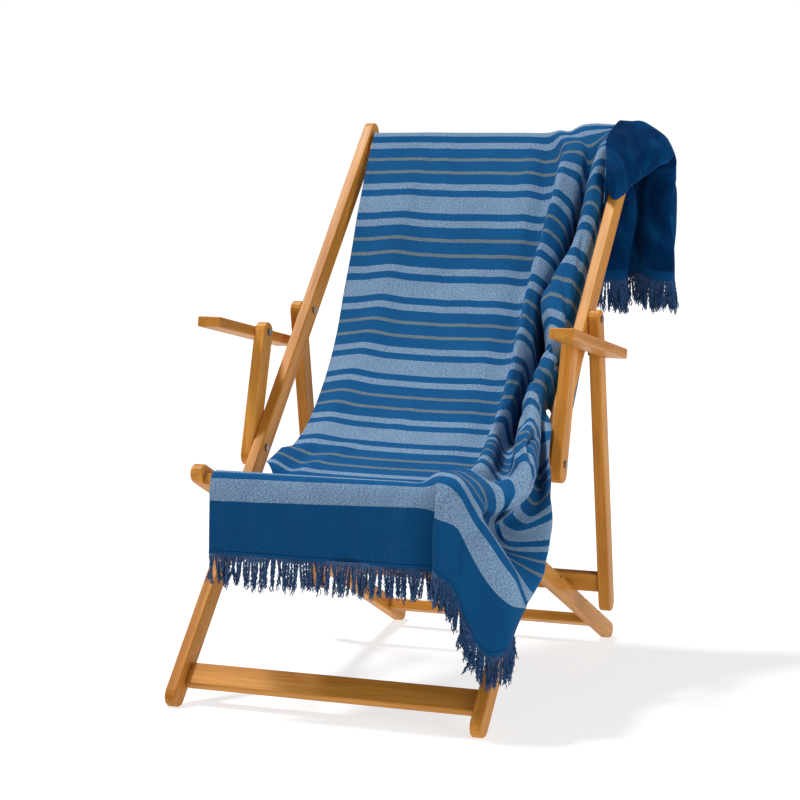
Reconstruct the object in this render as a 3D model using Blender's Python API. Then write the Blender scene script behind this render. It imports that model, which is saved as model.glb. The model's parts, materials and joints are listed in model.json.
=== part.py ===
"""Hammam towel draped over a folding deck chair, in metres, +Z up.

The long frame's feet stand at y = 0 and the chair leans back towards +Y.
The towel is one sheet: s runs along its length from the front hem, t across its width
from the left selvedge. Its shape is read from SECTIONS, a row for each fold at each section.
"""
import math
from collections import namedtuple

import bmesh
import bpy
import numpy as np
from mathutils import Vector

# ---------------------------------------------------------------- driving sizes
GAP = 0.0003            # gap between pieces that touch
FOOT_FLAT = 0.001       # how much of a round foot is worn flat
BEVEL = 0.002
ARC_STEPS = 7           # steps in each round end of a rail

HALF_WIDTH = 0.290      # outer face of the long frame
LONG_T, LONG_D = 0.021, 0.039           # long rails: thickness, depth
LONG_LENGTH = 1.340                     # between the centres of the round ends
LONG_LEAN = math.radians(41.18)         # from the vertical
SEAT_FACE = 0.239                       # outer face of the seat frame
SEAT_T, SEAT_D = 0.021, 0.033
SEAT_FRONT = (-0.0126, 0.4107)
SEAT_LENGTH = 1.0416
SIDE_T = 0.022                          # prop legs and arm supports
PROP_D, ARM_SUPPORT_D = 0.035, 0.038
ARMREST_W, ARMREST_H = 0.045, 0.019
ARMREST_SLOPE = math.radians(-8.48)
ARMREST_FRONT, ARMREST_REAR = 0.170, 0.186   # from the arm bolt

PIVOT_PROP = (0.5681, 0.6695)           # bolts, as (y, z)
PIVOT_SUPPORT = (0.3516, 0.4196)
PIVOT_ARM = (0.4050, 0.6330)
PROP_FOOT = (0.6847, 0.1205)
SUPPORT_PAST = 0.015                    # arm support reaches this far past its bolt

NOTCHES, NOTCH_STEP = 4, 0.096
BOLT_R, BOLT_HOLE_R, HEAD_R, HEAD_H = 0.0035, 0.0039, 0.0070, 0.0030
BOLT_SIDES = 10
SPACER_R = 0.011

# cross bars: (along the rail, thickness across it)
FOOT_BAR = (0.043, 0.0190)
REAR_BAR = (0.030, 0.0200)
PROP_BAR = (0.036, 0.0200)
TOP_BAR = (0.038, 0.0200)
FRONT_BAR = (0.028, 0.0200)

# towel
TOWEL_LENGTH = 1.594
CLOTH = 0.0014          # thickness of the cloth
STRANDS_FRONT, STRANDS_BACK = 56, 50
FRINGE_LENGTH = 0.060
STRAND_W, STRAND_T = 0.0030, 0.0016
BACKING_H = 0.004
HEM_GAP = 0.0006        # hem to backing

WOOD = (0.60, 0.30, 0.09)
STEEL = (0.45, 0.45, 0.45)
BLUE = (0.02, 0.12, 0.32)
YARN = (0.02, 0.07, 0.22)


# ---------------------------------------------------------------- worked out from the sizes
LONG_ANGLE = math.pi / 2 - LONG_LEAN
SEAT_LEAN = math.radians(-22.24)
LONG_FOOT = (0.0, LONG_D / 2 - FOOT_FLAT)
LONG_TOP = (LONG_LENGTH * math.cos(LONG_ANGLE), LONG_FOOT[1] + LONG_LENGTH * math.sin(LONG_ANGLE))
SEAT_REAR = (SEAT_FRONT[0] + SEAT_LENGTH * math.cos(SEAT_LEAN), SEAT_D / 2 - FOOT_FLAT)
PIVOT_SEAT = (0.2487, 0.3038)
PROP_LEAN = math.atan2(PROP_FOOT[1] - PIVOT_PROP[1], PROP_FOOT[0] - PIVOT_PROP[0])
PROP_BAR_MIDDLE = (0.6746, 0.1600)
PROP_NOTCH = 1          # the notch that the bar lies in, counted from the front
TOP_BAR_MIDDLE = (0.8590, 1.0000)
FRONT_BAR_MIDDLE = (-0.0050, 0.3980)
FOOT_BAR_UP = 0.0475    # foot to the middle of the foot bar
REAR_BAR_ALONG = 0.965  # along the seat rail
ARM_BOLTS_APART = 0.1710
ARM_BOLT_DEPTH = 0.022


# ---------------------------------------------------------------- towel: tables
# where the flat part of the cloth lies, seen from the side, from the front hem to the rear hem
PROFILE = (
    # y, z
    (-0.0320, 0.2780),
    (-0.0315, 0.3450),
    (-0.0300, 0.3900),
    (-0.0220, 0.4120),
    (-0.0050, 0.4165),
    (0.0300, 0.4080),
    (0.0900, 0.3960),
    (0.1500, 0.3950),
    (0.2170, 0.4100),
    (0.3250, 0.4560),
    (0.4880, 0.5680),
    (0.6280, 0.7090),
    (0.7350, 0.8700),
    (0.8060, 0.9610),
    (0.8380, 0.9990),
    (0.8600, 1.0240),
    (0.8740, 1.0240),
    (0.8860, 1.0040),
    (0.8880, 0.9400),
    (0.8880, 0.8500),
    (0.8880, 0.7300),
)

# Sections across the cloth. s is the distance from the front hem along the cloth, left and flat
# are the x of the left selvedge and of the end of the flat part. Each fold line that follows, from
# left to right, has its x, how far it stands back from the flat cloth and how far above it.
Section = namedtuple("Section", "name s left flat folds")
FOLDS = ("crest_1", "lip_1", "floor_1", "floor_2", "lip_2", "crest_2", "side",
         "under", "pocket", "pile", "crease", "outer", "edge", "tail")
SECTIONS = (
    Section("front_hem", 0.0000, -0.200, 0.180, (
        (0.246, 0.014, -0.006), (0.246, 0.004, -0.006), (0.208, -0.008, 0.002), (0.213, -0.018, -0.001),
        (0.243, -0.010, -0.024), (0.256, -0.005, -0.055), (0.266, 0.002, -0.092), (0.275, 0.007, -0.109),
        (0.285, 0.014, -0.126), (0.299, 0.020, -0.140), (0.325, 0.032, -0.130), (0.326, 0.062, -0.113),
        (0.318, 0.092, -0.088), (0.308, 0.122, -0.063))),
    Section("first_stripe", 0.0970, -0.200, 0.180, (
        (0.238, -0.003, -0.009), (0.238, -0.009, -0.009), (0.212, -0.015, 0.004), (0.218, -0.023, 0.001),
        (0.250, -0.013, -0.011), (0.262, -0.006, -0.035), (0.274, 0.001, -0.060), (0.284, 0.007, -0.080),
        (0.296, 0.013, -0.100), (0.313, 0.020, -0.122), (0.332, 0.031, -0.142), (0.345, 0.061, -0.156),
        (0.336, 0.099, -0.160), (0.316, 0.131, -0.140))),
    Section("front_edge", 0.1420, -0.200, 0.180, (
        (0.196, -0.005, 0.006), (0.205, -0.011, 0.011), (0.213, -0.017, 0.015), (0.244, -0.022, 0.014),
        (0.257, -0.023, 0.003), (0.270, -0.017, -0.023), (0.284, -0.009, -0.048), (0.290, -0.003, -0.059),
        (0.299, 0.004, -0.074), (0.313, 0.013, -0.099), (0.333, 0.027, -0.134), (0.347, 0.057, -0.191),
        (0.338, 0.095, -0.183), (0.318, 0.129, -0.165))),
    Section("near_edge", 0.1800, -0.197, 0.165, (
        (0.188, 0.000, 0.019), (0.204, -0.005, 0.026), (0.220, -0.014, 0.027), (0.236, -0.024, 0.023),
        (0.261, -0.034, 0.010), (0.277, -0.034, -0.011), (0.286, -0.028, -0.029), (0.260, 0.004, -0.044),
        (0.264, 0.016, -0.061), (0.276, 0.017, -0.073), (0.298, 0.016, -0.106), (0.364, 0.040, -0.147),
        (0.352, 0.076, -0.141), (0.328, 0.108, -0.129))),
    Section("dip", 0.2145, -0.195, 0.155, (
        (0.178, -0.004, 0.018), (0.196, -0.008, 0.027), (0.214, -0.014, 0.031), (0.234, -0.022, 0.030),
        (0.267, -0.040, 0.015), (0.281, -0.050, -0.001), (0.284, -0.048, -0.022), (0.262, -0.018, -0.045),
        (0.264, -0.004, -0.062), (0.278, -0.010, -0.080), (0.305, -0.012, -0.098), (0.364, 0.021, -0.116),
        (0.352, 0.057, -0.112), (0.328, 0.089, -0.102))),
    Section("below_hidden", 0.2520, -0.193, 0.155, (
        (0.185, -0.006, 0.024), (0.204, -0.008, 0.036), (0.224, -0.013, 0.038), (0.244, -0.021, 0.032),
        (0.276, -0.036, 0.018), (0.293, -0.049, 0.004), (0.299, -0.061, -0.018), (0.280, -0.034, -0.036),
        (0.268, -0.014, -0.056), (0.276, -0.020, -0.074), (0.308, -0.033, -0.089), (0.364, -0.001, -0.089),
        (0.352, 0.036, -0.085), (0.328, 0.067, -0.076))),
    Section("swirl", 0.2750, -0.192, 0.155, (
        (0.196, -0.006, 0.020), (0.215, -0.008, 0.026), (0.238, -0.012, 0.010), (0.255, -0.014, 0.008),
        (0.283, -0.039, 0.023), (0.303, -0.046, 0.027), (0.316, -0.059, 0.005), (0.308, -0.074, -0.017),
        (0.292, -0.048, -0.028), (0.279, -0.031, -0.042), (0.297, -0.048, -0.075), (0.363, -0.014, -0.074),
        (0.350, 0.023, -0.068), (0.328, 0.054, -0.060))),
    Section("hidden_stripe", 0.2970, -0.190, 0.155, (
        (0.226, -0.018, 0.037), (0.242, -0.015, 0.026), (0.250, -0.008, -0.017), (0.265, -0.008, -0.017),
        (0.296, -0.041, 0.027), (0.317, -0.048, 0.042), (0.334, -0.061, 0.024), (0.334, -0.081, 0.000),
        (0.306, -0.086, -0.028), (0.272, -0.056, -0.054), (0.302, -0.061, -0.071), (0.363, -0.028, -0.058),
        (0.350, 0.011, -0.053), (0.328, 0.042, -0.044))),
    Section("above_hidden", 0.3420, -0.187, 0.155, (
        (0.229, -0.015, 0.048), (0.244, -0.010, 0.036), (0.246, 0.005, -0.042), (0.261, 0.005, -0.042),
        (0.288, -0.040, 0.045), (0.310, -0.055, 0.069), (0.329, -0.070, 0.048), (0.339, -0.090, 0.021),
        (0.326, -0.090, -0.005), (0.303, -0.076, -0.033), (0.326, -0.082, -0.050), (0.356, -0.050, -0.030),
        (0.349, -0.028, -0.029), (0.339, -0.008, -0.023))),
    Section("seat_grey", 0.4000, -0.183, 0.155, (
        (0.215, -0.021, 0.045), (0.229, -0.011, 0.040), (0.240, 0.004, -0.061), (0.256, 0.004, -0.061),
        (0.271, -0.036, 0.051), (0.293, -0.051, 0.071), (0.313, -0.066, 0.051), (0.325, -0.086, 0.026),
        (0.324, -0.091, 0.004), (0.309, -0.076, -0.022), (0.326, -0.078, -0.033), (0.333, -0.070, -0.019),
        (0.337, -0.066, -0.011), (0.341, -0.061, -0.005))),
    Section("seat_stripe", 0.4970, -0.179, 0.150, (
        (0.197, -0.039, 0.022), (0.200, -0.004, 0.024), (0.206, 0.031, -0.081), (0.221, 0.031, -0.081),
        (0.237, -0.004, 0.040), (0.262, -0.014, 0.060), (0.282, -0.029, 0.039), (0.287, -0.039, 0.019),
        (0.285, -0.043, 0.003), (0.282, -0.043, -0.014), (0.290, -0.049, -0.020), (0.296, -0.054, -0.016),
        (0.303, -0.058, -0.008), (0.308, -0.062, -0.002))),
    Section("crossing", 0.5600, -0.184, 0.148, (
        (0.194, -0.034, 0.030), (0.203, 0.008, 0.026), (0.199, 0.026, -0.100), (0.214, 0.026, -0.100),
        (0.221, 0.018, 0.046), (0.234, 0.006, 0.066), (0.254, 0.005, 0.057), (0.259, 0.003, 0.045),
        (0.260, 0.001, 0.034), (0.261, -0.003, 0.026), (0.263, -0.008, 0.020), (0.268, -0.016, 0.017),
        (0.274, -0.024, 0.016), (0.281, -0.031, 0.016))),
    Section("inside_rail", 0.5850, -0.187, 0.147, (
        (0.190, -0.027, 0.035), (0.200, 0.011, 0.030), (0.199, 0.032, -0.100), (0.213, 0.032, -0.100),
        (0.220, 0.024, 0.048), (0.233, 0.011, 0.068), (0.253, 0.010, 0.058), (0.259, 0.014, 0.046),
        (0.259, 0.018, 0.037), (0.259, 0.020, 0.030), (0.260, 0.021, 0.024), (0.260, 0.021, 0.019),
        (0.260, 0.020, 0.014), (0.261, 0.018, 0.009))),
    Section("under_arm", 0.6100, -0.190, 0.146, (
        (0.187, -0.020, 0.040), (0.198, 0.014, 0.034), (0.199, 0.044, -0.090), (0.212, 0.044, -0.090),
        (0.219, 0.030, 0.050), (0.232, 0.016, 0.070), (0.252, 0.014, 0.060), (0.259, 0.020, 0.042),
        (0.258, 0.030, 0.022), (0.257, 0.040, 0.002), (0.257, 0.048, -0.012), (0.258, 0.054, -0.022),
        (0.258, 0.058, -0.032), (0.258, 0.061, -0.042))),
    Section("low_back", 0.6970, -0.201, 0.145, (
        (0.180, -0.009, 0.048), (0.193, 0.020, 0.040), (0.199, 0.050, -0.050), (0.212, 0.050, -0.050),
        (0.219, 0.044, 0.054), (0.232, 0.024, 0.076), (0.250, 0.020, 0.064), (0.255, 0.040, 0.044),
        (0.255, 0.052, 0.022), (0.255, 0.062, 0.000), (0.254, 0.070, -0.022), (0.253, 0.076, -0.044),
        (0.252, 0.080, -0.066), (0.252, 0.084, -0.095))),
    Section("mid_back", 0.8970, -0.230, 0.140, (
        (0.178, -0.008, 0.058), (0.192, 0.013, 0.042), (0.199, 0.050, -0.045), (0.212, 0.050, -0.045),
        (0.220, 0.050, 0.086), (0.239, 0.028, 0.110), (0.252, 0.036, 0.104), (0.256, 0.056, 0.080),
        (0.255, 0.066, 0.060), (0.254, 0.073, 0.040), (0.253, 0.078, 0.020), (0.252, 0.080, 0.000),
        (0.252, 0.080, -0.020), (0.252, 0.078, -0.042))),
    Section("upper_back", 1.0000, -0.238, 0.140, (
        (0.180, -0.011, 0.056), (0.195, 0.010, 0.040), (0.201, 0.050, -0.060), (0.214, 0.050, -0.060),
        (0.222, 0.045, 0.082), (0.239, 0.028, 0.108), (0.251, 0.037, 0.107), (0.256, 0.052, 0.094),
        (0.256, 0.060, 0.081), (0.255, 0.066, 0.068), (0.254, 0.070, 0.054), (0.253, 0.073, 0.041),
        (0.253, 0.075, 0.027), (0.253, 0.075, 0.012))),
    Section("near_top", 1.0600, -0.243, 0.140, (
        (0.183, -0.013, 0.054), (0.198, 0.007, 0.038), (0.202, 0.045, -0.090), (0.217, 0.045, -0.090),
        (0.224, 0.041, 0.076), (0.239, 0.029, 0.107), (0.251, 0.036, 0.113), (0.258, 0.040, 0.107),
        (0.262, 0.041, 0.099), (0.264, 0.038, 0.089), (0.265, 0.033, 0.080), (0.266, 0.026, 0.072),
        (0.266, 0.020, 0.065), (0.266, 0.013, 0.060))),
    Section("high_back", 1.0970, -0.246, 0.140, (
        (0.186, -0.015, 0.052), (0.200, 0.005, 0.038), (0.204, 0.034, -0.085), (0.219, 0.034, -0.085),
        (0.226, 0.037, 0.074), (0.239, 0.029, 0.106), (0.251, 0.037, 0.113), (0.259, 0.043, 0.106),
        (0.268, 0.042, 0.094), (0.284, 0.020, 0.054), (0.290, -0.006, 0.021), (0.287, -0.017, 0.036),
        (0.280, -0.022, 0.049), (0.273, -0.027, 0.062))),
    Section("over_rail", 1.1500, -0.251, 0.138, (
        (0.186, -0.012, 0.049), (0.201, 0.006, 0.040), (0.206, 0.016, -0.026), (0.221, 0.016, -0.026),
        (0.228, 0.034, 0.070), (0.240, 0.033, 0.094), (0.254, 0.042, 0.100), (0.268, 0.048, 0.097),
        (0.282, 0.046, 0.088), (0.304, 0.036, 0.052), (0.319, 0.024, 0.009), (0.309, 0.006, 0.039),
        (0.286, -0.006, 0.060), (0.260, -0.014, 0.065))),
    Section("below_top", 1.2000, -0.256, 0.135, (
        (0.186, -0.010, 0.046), (0.202, 0.000, 0.040), (0.209, -0.004, 0.006), (0.222, -0.002, 0.009),
        (0.231, 0.016, 0.044), (0.241, 0.030, 0.072), (0.256, 0.044, 0.078), (0.278, 0.046, 0.074),
        (0.302, 0.042, 0.070), (0.314, 0.042, 0.035), (0.341, 0.036, -0.002), (0.333, 0.016, 0.033),
        (0.291, 0.004, 0.053), (0.250, -0.008, 0.055))),
    Section("top", 1.2935, -0.262, 0.130, (
        (0.176, 0.000, 0.018), (0.197, 0.004, 0.016), (0.212, 0.006, 0.003), (0.222, 0.008, 0.003),
        (0.229, 0.009, 0.016), (0.242, 0.010, 0.026), (0.260, 0.016, 0.026), (0.280, 0.020, 0.028),
        (0.304, 0.020, 0.026), (0.342, 0.014, -0.010), (0.376, 0.012, -0.056), (0.350, 0.018, 0.002),
        (0.306, 0.022, 0.035), (0.258, 0.020, 0.037))),
    Section("behind", 1.3890, -0.262, 0.130, (
        (0.172, 0.010, 0.004), (0.205, 0.012, 0.002), (0.270, 0.016, 0.004), (0.270, 0.028, 0.008),
        (0.222, 0.034, 0.016), (0.240, 0.044, 0.034), (0.268, 0.046, 0.036), (0.290, 0.042, 0.032),
        (0.312, 0.034, 0.022), (0.350, 0.024, 0.010), (0.392, 0.026, 0.000), (0.386, 0.056, 0.010),
        (0.340, 0.064, 0.020), (0.300, 0.066, 0.030))),
    Section("rear_hem", 1.5940, -0.262, 0.130, (
        (0.172, 0.008, 0.000), (0.205, 0.012, 0.000), (0.276, 0.018, 0.000), (0.276, 0.030, 0.002),
        (0.225, 0.036, 0.004), (0.245, 0.046, 0.010), (0.272, 0.044, 0.012), (0.294, 0.034, 0.012),
        (0.316, 0.016, 0.010), (0.352, 0.004, 0.000), (0.400, 0.010, 0.000), (0.392, 0.050, 0.006),
        (0.346, 0.060, 0.010), (0.306, 0.064, 0.012))),
)
BUMP_X, BUMP_W, BUMP_H = -0.140, 0.045, 0.014    # soft lengthwise crease in the flat part
BUMP_MID, BUMP_LONG = 0.75, 0.42
FOLD_SLACK = 0.6        # 1 for the roundest folds, 0 for straight runs between the fold lines
FRINGE_DROOP = (0.0, 0.0, -0.6)

# how the sheet is cut into cells. Along it, where each span starts and its number of cells
ALONG = ((0.0, 4), (0.09, 10), (0.30, 5), (0.48, 8), (0.62, 7), (0.98, 7), (1.12, 5), (1.25, 6), (1.35, 5),
         (TOWEL_LENGTH, 0))
ACROSS = (1, 1, 1, 1, 1, 1, 2, 2, 4, 1, 4, 3, 3, 3, 2, 3, 2, 4, 3, 4)    # cells from each fold line to the next
FOLD_STEPS = 10
SOFT_STEP, SOFT_ROUNDS = 0.003, 7        # how the folds are rounded

# ---------------------------------------------------------------- curves
def curve_through(points, knots, at, slack=1.0):
    """Smooth curve through points that stand at knots, read at the values in at."""
    p = np.asarray(points, float)
    u = np.asarray(knots, float)
    step = np.diff(u)[:, None]
    rate = np.diff(p, axis=0) / step
    inner = (rate[:-1] * step[1:] + rate[1:] * step[:-1]) / (step[1:] + step[:-1])
    slope = np.vstack([rate[:1], inner, rate[-1:]]) * slack
    i = np.clip(np.searchsorted(u, at, side="right") - 1, 0, len(u) - 2)
    h = step[i]
    f = (np.asarray(at)[:, None] - u[i][:, None]) / h
    return ((1 + 2 * f) * (1 - f) ** 2 * p[i] + f * (1 - f) ** 2 * h * slope[i]
            + f * f * (3 - 2 * f) * p[i + 1] + f * f * (f - 1) * h * slope[i + 1])


def even_curve(points, steps, slack=1.0):
    """Points of the smooth curve, and how far along it each one is."""
    p = np.asarray(points, float)
    knots = np.concatenate([[0], np.cumsum(np.linalg.norm(np.diff(p, axis=0), axis=1) ** 0.5)])
    at = np.concatenate([np.linspace(a, b, steps, endpoint=False) for a, b in zip(knots, knots[1:])])
    line = curve_through(p, knots, np.append(at, knots[-1]), slack)
    return line, np.concatenate([[0], np.cumsum(np.linalg.norm(np.diff(line, axis=0), axis=1))])


def read_at(line, arc, at):
    return np.stack([np.interp(at, arc, axis) for axis in line.T], axis=-1)


# ---------------------------------------------------------------- towel
def profile_at(s):
    """Place of the flat cloth at s as (y, z), and its front normal."""
    line, arc = even_curve(PROFILE, 16)
    here = read_at(line, arc, s)
    run = read_at(line, arc, np.minimum(s + 0.006, arc[-1])) - read_at(line, arc, np.maximum(s - 0.006, 0))
    run /= np.linalg.norm(run, axis=-1, keepdims=True)
    return here, np.stack([-run[..., 1], run[..., 0]], axis=-1)


def section_points(s):
    """Points across the cloth at s, from the left selvedge to the tail."""
    stops = [row.s for row in SECTIONS]
    edges = curve_through([(row.left, row.flat) for row in SECTIONS], stops, [s])[0]
    folds = curve_through([np.ravel(row.folds) for row in SECTIONS], stops, [s])[0].reshape(-1, 3)
    (y, z), (ny, nz) = (np.array(v) for v in profile_at(np.float64(s)))
    swell = math.exp(-((s - BUMP_MID) / BUMP_LONG) ** 4)
    points = []
    for x in (edges[0], (edges[0] + BUMP_X) / 2, BUMP_X, BUMP_X + BUMP_W, 0.0, edges[1] - 0.05, edges[1]):
        rise = BUMP_H * swell * math.exp(-((x - BUMP_X) / BUMP_W) ** 2)
        points.append((x, y + ny * rise, z + nz * rise))
    points += [(x, y + back, z + up) for x, back, up in folds]
    return np.array(points)


def soften(line):
    """Rounds every fold of a line of even steps, its ends kept."""
    for _ in range(SOFT_ROUNDS):
        line[1:-1] += (line[:-2] + line[2:] - 2 * line[1:-1]) / 4
    return line


def section_line(s):
    """Curve across the cloth at s, how far along it each point is, and where its fold lines are."""
    line, arc = even_curve(section_points(s), FOLD_STEPS, FOLD_SLACK)
    steps = int(arc[-1] / SOFT_STEP)
    even = soften(read_at(line, arc, np.linspace(0, arc[-1], steps + 1)))
    even_arc = np.concatenate([[0], np.cumsum(np.linalg.norm(np.diff(even, axis=0), axis=1))])
    folds = np.interp(arc[::FOLD_STEPS] / arc[-1] * steps, np.arange(steps + 1), even_arc)
    run_on = even[-1] + (even[-1] - even[-2]) / np.linalg.norm(even[-1] - even[-2])
    return np.vstack([even, run_on]), np.append(even_arc, even_arc[-1] + 1.0), folds


def cloth_grid(along):
    """Middle of the cloth at every s in along, in columns that follow the fold lines."""
    rows = []
    for s in along:
        line, arc, folds = section_line(s)
        across = [np.linspace(a, b, cells, endpoint=False) for a, b, cells in zip(folds, folds[1:], ACROSS)]
        rows.append(read_at(line, arc, np.append(np.concatenate(across), folds[-1])))
    return np.array(rows)


def spans(table):
    """Stations that cut each span into its number of cells."""
    stops = [np.linspace(a, b, cells, endpoint=False) for (a, cells), (b, _) in zip(table, table[1:])]
    return np.append(np.concatenate(stops), table[-1][0])


def directions(grid):
    """Unit tangent at each point along the first axis, halfway between those of its two cells."""
    step = np.diff(grid, axis=0)
    step /= np.linalg.norm(step, axis=2, keepdims=True)
    return np.concatenate([step[:1], step[:-1] + step[1:], step[-1:]])


def grid_normals(grid):
    normal = np.cross(directions(grid.swapaxes(0, 1)).swapaxes(0, 1), directions(grid))
    return normal / np.linalg.norm(normal, axis=2, keepdims=True)


def make_towel():
    grid = cloth_grid(spans(ALONG))
    normal = grid_normals(grid)
    rows, columns = grid.shape[:2]
    shape = bmesh.new()
    sides = [[[shape.verts.new(p) for p in row] for row in grid + normal * offset]
             for offset in (CLOTH / 2, -CLOTH / 2)]
    front, back = sides
    for i in range(rows - 1):
        for j in range(columns - 1):
            shape.faces.new((front[i][j], front[i][j + 1], front[i + 1][j + 1], front[i + 1][j]))
            shape.faces.new((back[i][j], back[i + 1][j], back[i + 1][j + 1], back[i][j + 1]))
    rim = [(0, j) for j in range(columns)] + [(i, columns - 1) for i in range(1, rows)]
    rim += [(rows - 1, j) for j in range(columns - 2, -1, -1)] + [(i, 0) for i in range(rows - 2, 0, -1)]
    for (i, j), (k, m) in zip(rim, rim[1:] + rim[:1]):
        shape.faces.new((front[k][m], front[i][j], back[i][j], back[k][m]))
    return finish("towel", shape, BLUE, 0.9, 0.0, smooth=60)


def make_fringe(name, hem, inside, strands):
    """Strands on a narrow backing. hem is the s of the hem, inside is an s just within it."""
    outward = math.copysign(1, hem - inside)
    line, within = cloth_grid([hem, inside])
    arc = np.concatenate([[0], np.cumsum(np.linalg.norm(np.diff(line, axis=0), axis=1))])
    cell = arc[-1] / strands
    middles = (np.arange(strands) + 0.5) * cell
    corners = arc[np.min(np.abs(arc[:, None] - middles), axis=1) > STRAND_W / 2 + GAP]
    marks = np.sort(np.concatenate([middles - STRAND_W / 2, middles + STRAND_W / 2, corners[1:-1]]))
    out = line - within
    run = directions(line[:, None])[:, 0]
    run /= np.linalg.norm(run, axis=1, keepdims=True)
    out -= run * np.sum(out * run, axis=1, keepdims=True)
    out /= np.linalg.norm(out, axis=1, keepdims=True)
    thick = np.cross(run, out) * outward
    middle, out, thick = (read_at(v, arc, marks) for v in (line, out, thick))
    top = middle + out * HEM_GAP
    low = middle + out * (HEM_GAP + BACKING_H)
    droop = out + np.array(FRINGE_DROOP)
    droop /= np.linalg.norm(droop, axis=1, keepdims=True)
    shape = bmesh.new()
    rings = []
    for i in range(len(marks)):
        ring = []
        for place in (top[i], low[i]):
            ring += [shape.verts.new(place + thick[i] * STRAND_T / 2), shape.verts.new(place - thick[i] * STRAND_T / 2)]
        rings.append(ring)
    for i, (a, b) in enumerate(zip(rings, rings[1:])):
        shape.faces.new((a[0], b[0], b[1], a[1]))
        shape.faces.new((a[2], b[2], b[0], a[0]))
        shape.faces.new((a[1], b[1], b[3], a[3]))
        if np.min(np.abs(middles - (marks[i] + marks[i + 1]) / 2)) > GAP:
            shape.faces.new((a[3], b[3], b[2], a[2]))
            continue
        way = Vector((droop[i] + droop[i + 1]) / 2 * FRINGE_LENGTH)
        roots = (a[2], b[2], b[3], a[3])
        tips = [shape.verts.new(v.co + way) for v in roots]
        for k in range(4):
            shape.faces.new((roots[k], tips[k], tips[k - 3], roots[k - 3]))
        shape.faces.new(tips[::-1])
    shape.faces.new(rings[0][:2] + rings[0][:1:-1])
    shape.faces.new(rings[-1][:2] + rings[-1][:1:-1])
    return finish(name, shape, YARN, 0.95, 0.0)


# ---------------------------------------------------------------- chair
def finish(name, shape, colour, roughness, metallic, smooth=30):
    """Turns the bmesh into an object with its own material."""
    bmesh.ops.recalc_face_normals(shape, faces=shape.faces)
    mesh = bpy.data.meshes.new(name)
    shape.to_mesh(mesh)
    shape.free()
    mesh.shade_smooth()
    mesh.set_sharp_from_angle(angle=math.radians(smooth))
    material = bpy.data.materials.new(name)
    material.use_nodes = True
    shader = material.node_tree.nodes["Principled BSDF"]
    shader.inputs["Base Color"].default_value = (*colour, 1)
    shader.inputs["Roughness"].default_value = roughness
    shader.inputs["Metallic"].default_value = metallic
    mesh.materials.append(material)
    piece = bpy.data.objects.new(name, mesh)
    bpy.context.scene.collection.objects.link(piece)
    return piece


def extrude(outline, x_from, x_to):
    """A closed outline of (y, z) points made solid from x_from to x_to."""
    shape = bmesh.new()
    face = shape.faces.new([shape.verts.new((x_from, y, z)) for y, z in outline])
    pushed = bmesh.ops.extrude_face_region(shape, geom=[face], use_keep_orig=True)
    moved = [v for v in pushed["geom"] if isinstance(v, bmesh.types.BMVert)]
    bmesh.ops.translate(shape, verts=moved, vec=(x_to - x_from, 0, 0))
    bmesh.ops.recalc_face_normals(shape, faces=shape.faces)
    return shape


def stadium(start, end, depth):
    """Outline with a round end at start and at end, both (y, z)."""
    lean = math.atan2(end[1] - start[1], end[0] - start[0])
    outline = []
    for centre, turn in ((end, lean - math.pi / 2), (start, lean + math.pi / 2)):
        for i in range(ARC_STEPS + 1):
            angle = turn + math.pi * i / ARC_STEPS
            outline.append((centre[0] + depth / 2 * math.cos(angle), centre[1] + depth / 2 * math.sin(angle)))
    return outline


def box_outline(centre, lean, size):
    """Rectangle of size (along, across) turned by lean, as (y, z) points."""
    along = Vector((math.cos(lean), math.sin(lean))) * size[0] / 2
    across = Vector((-math.sin(lean), math.cos(lean))) * size[1] / 2
    middle = Vector(centre)
    return [tuple(middle + along * a + across * b) for a, b in ((-1, -1), (1, -1), (1, 1), (-1, 1))]


def wood(name, outline, x_from, x_to, feet=False):
    shape = extrude(outline, x_from, x_to)
    if feet:
        everything = shape.verts[:] + shape.edges[:] + shape.faces[:]
        cut = bmesh.ops.bisect_plane(shape, geom=everything, plane_co=(0, 0, 0), plane_no=(0, 0, -1),
                                     clear_outer=True)
        rim = [e for e in cut["geom_cut"] if isinstance(e, bmesh.types.BMEdge)]
        bmesh.ops.edgeloop_fill(shape, edges=rim)
    piece = finish(name, shape, WOOD, 0.45, 0.0)
    bevel = piece.modifiers.new("edges", "BEVEL")
    bevel.width = BEVEL
    bevel.segments = 1
    bevel.limit_method = "ANGLE"
    bevel.angle_limit = math.radians(60)
    return piece


def cutter(name, outline, x_from, x_to):
    shape = extrude(outline, x_from, x_to)
    guide = finish(name, shape, STEEL, 0.5, 1.0)
    guide.hide_render = True
    guide.display_type = "WIRE"
    return guide


def cut(piece, guide):
    hole = piece.modifiers.new(guide.name, "BOOLEAN")
    hole.operation = "DIFFERENCE"
    hole.solver = "EXACT"
    hole.object = guide


def disc(centre, radius):
    return [(centre[0] + radius * math.cos(2 * math.pi * i / BOLT_SIDES),
             centre[1] + radius * math.sin(2 * math.pi * i / BOLT_SIDES)) for i in range(BOLT_SIDES)]


def turned(name, centre, steps, colour, metallic):
    """Piece turned about an axis along X, through its (x, radius) steps."""
    shape = bmesh.new()
    rings = [[shape.verts.new((x, y, z)) for y, z in disc(centre, radius)] for x, radius in steps]
    shape.faces.new(rings[0][::-1])
    shape.faces.new(rings[-1])
    for a, b in zip(rings, rings[1:]):
        for i in range(BOLT_SIDES):
            shape.faces.new((a[i - 1], a[i], b[i], b[i - 1]))
    return finish(name, shape, colour, 0.35, metallic)


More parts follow.
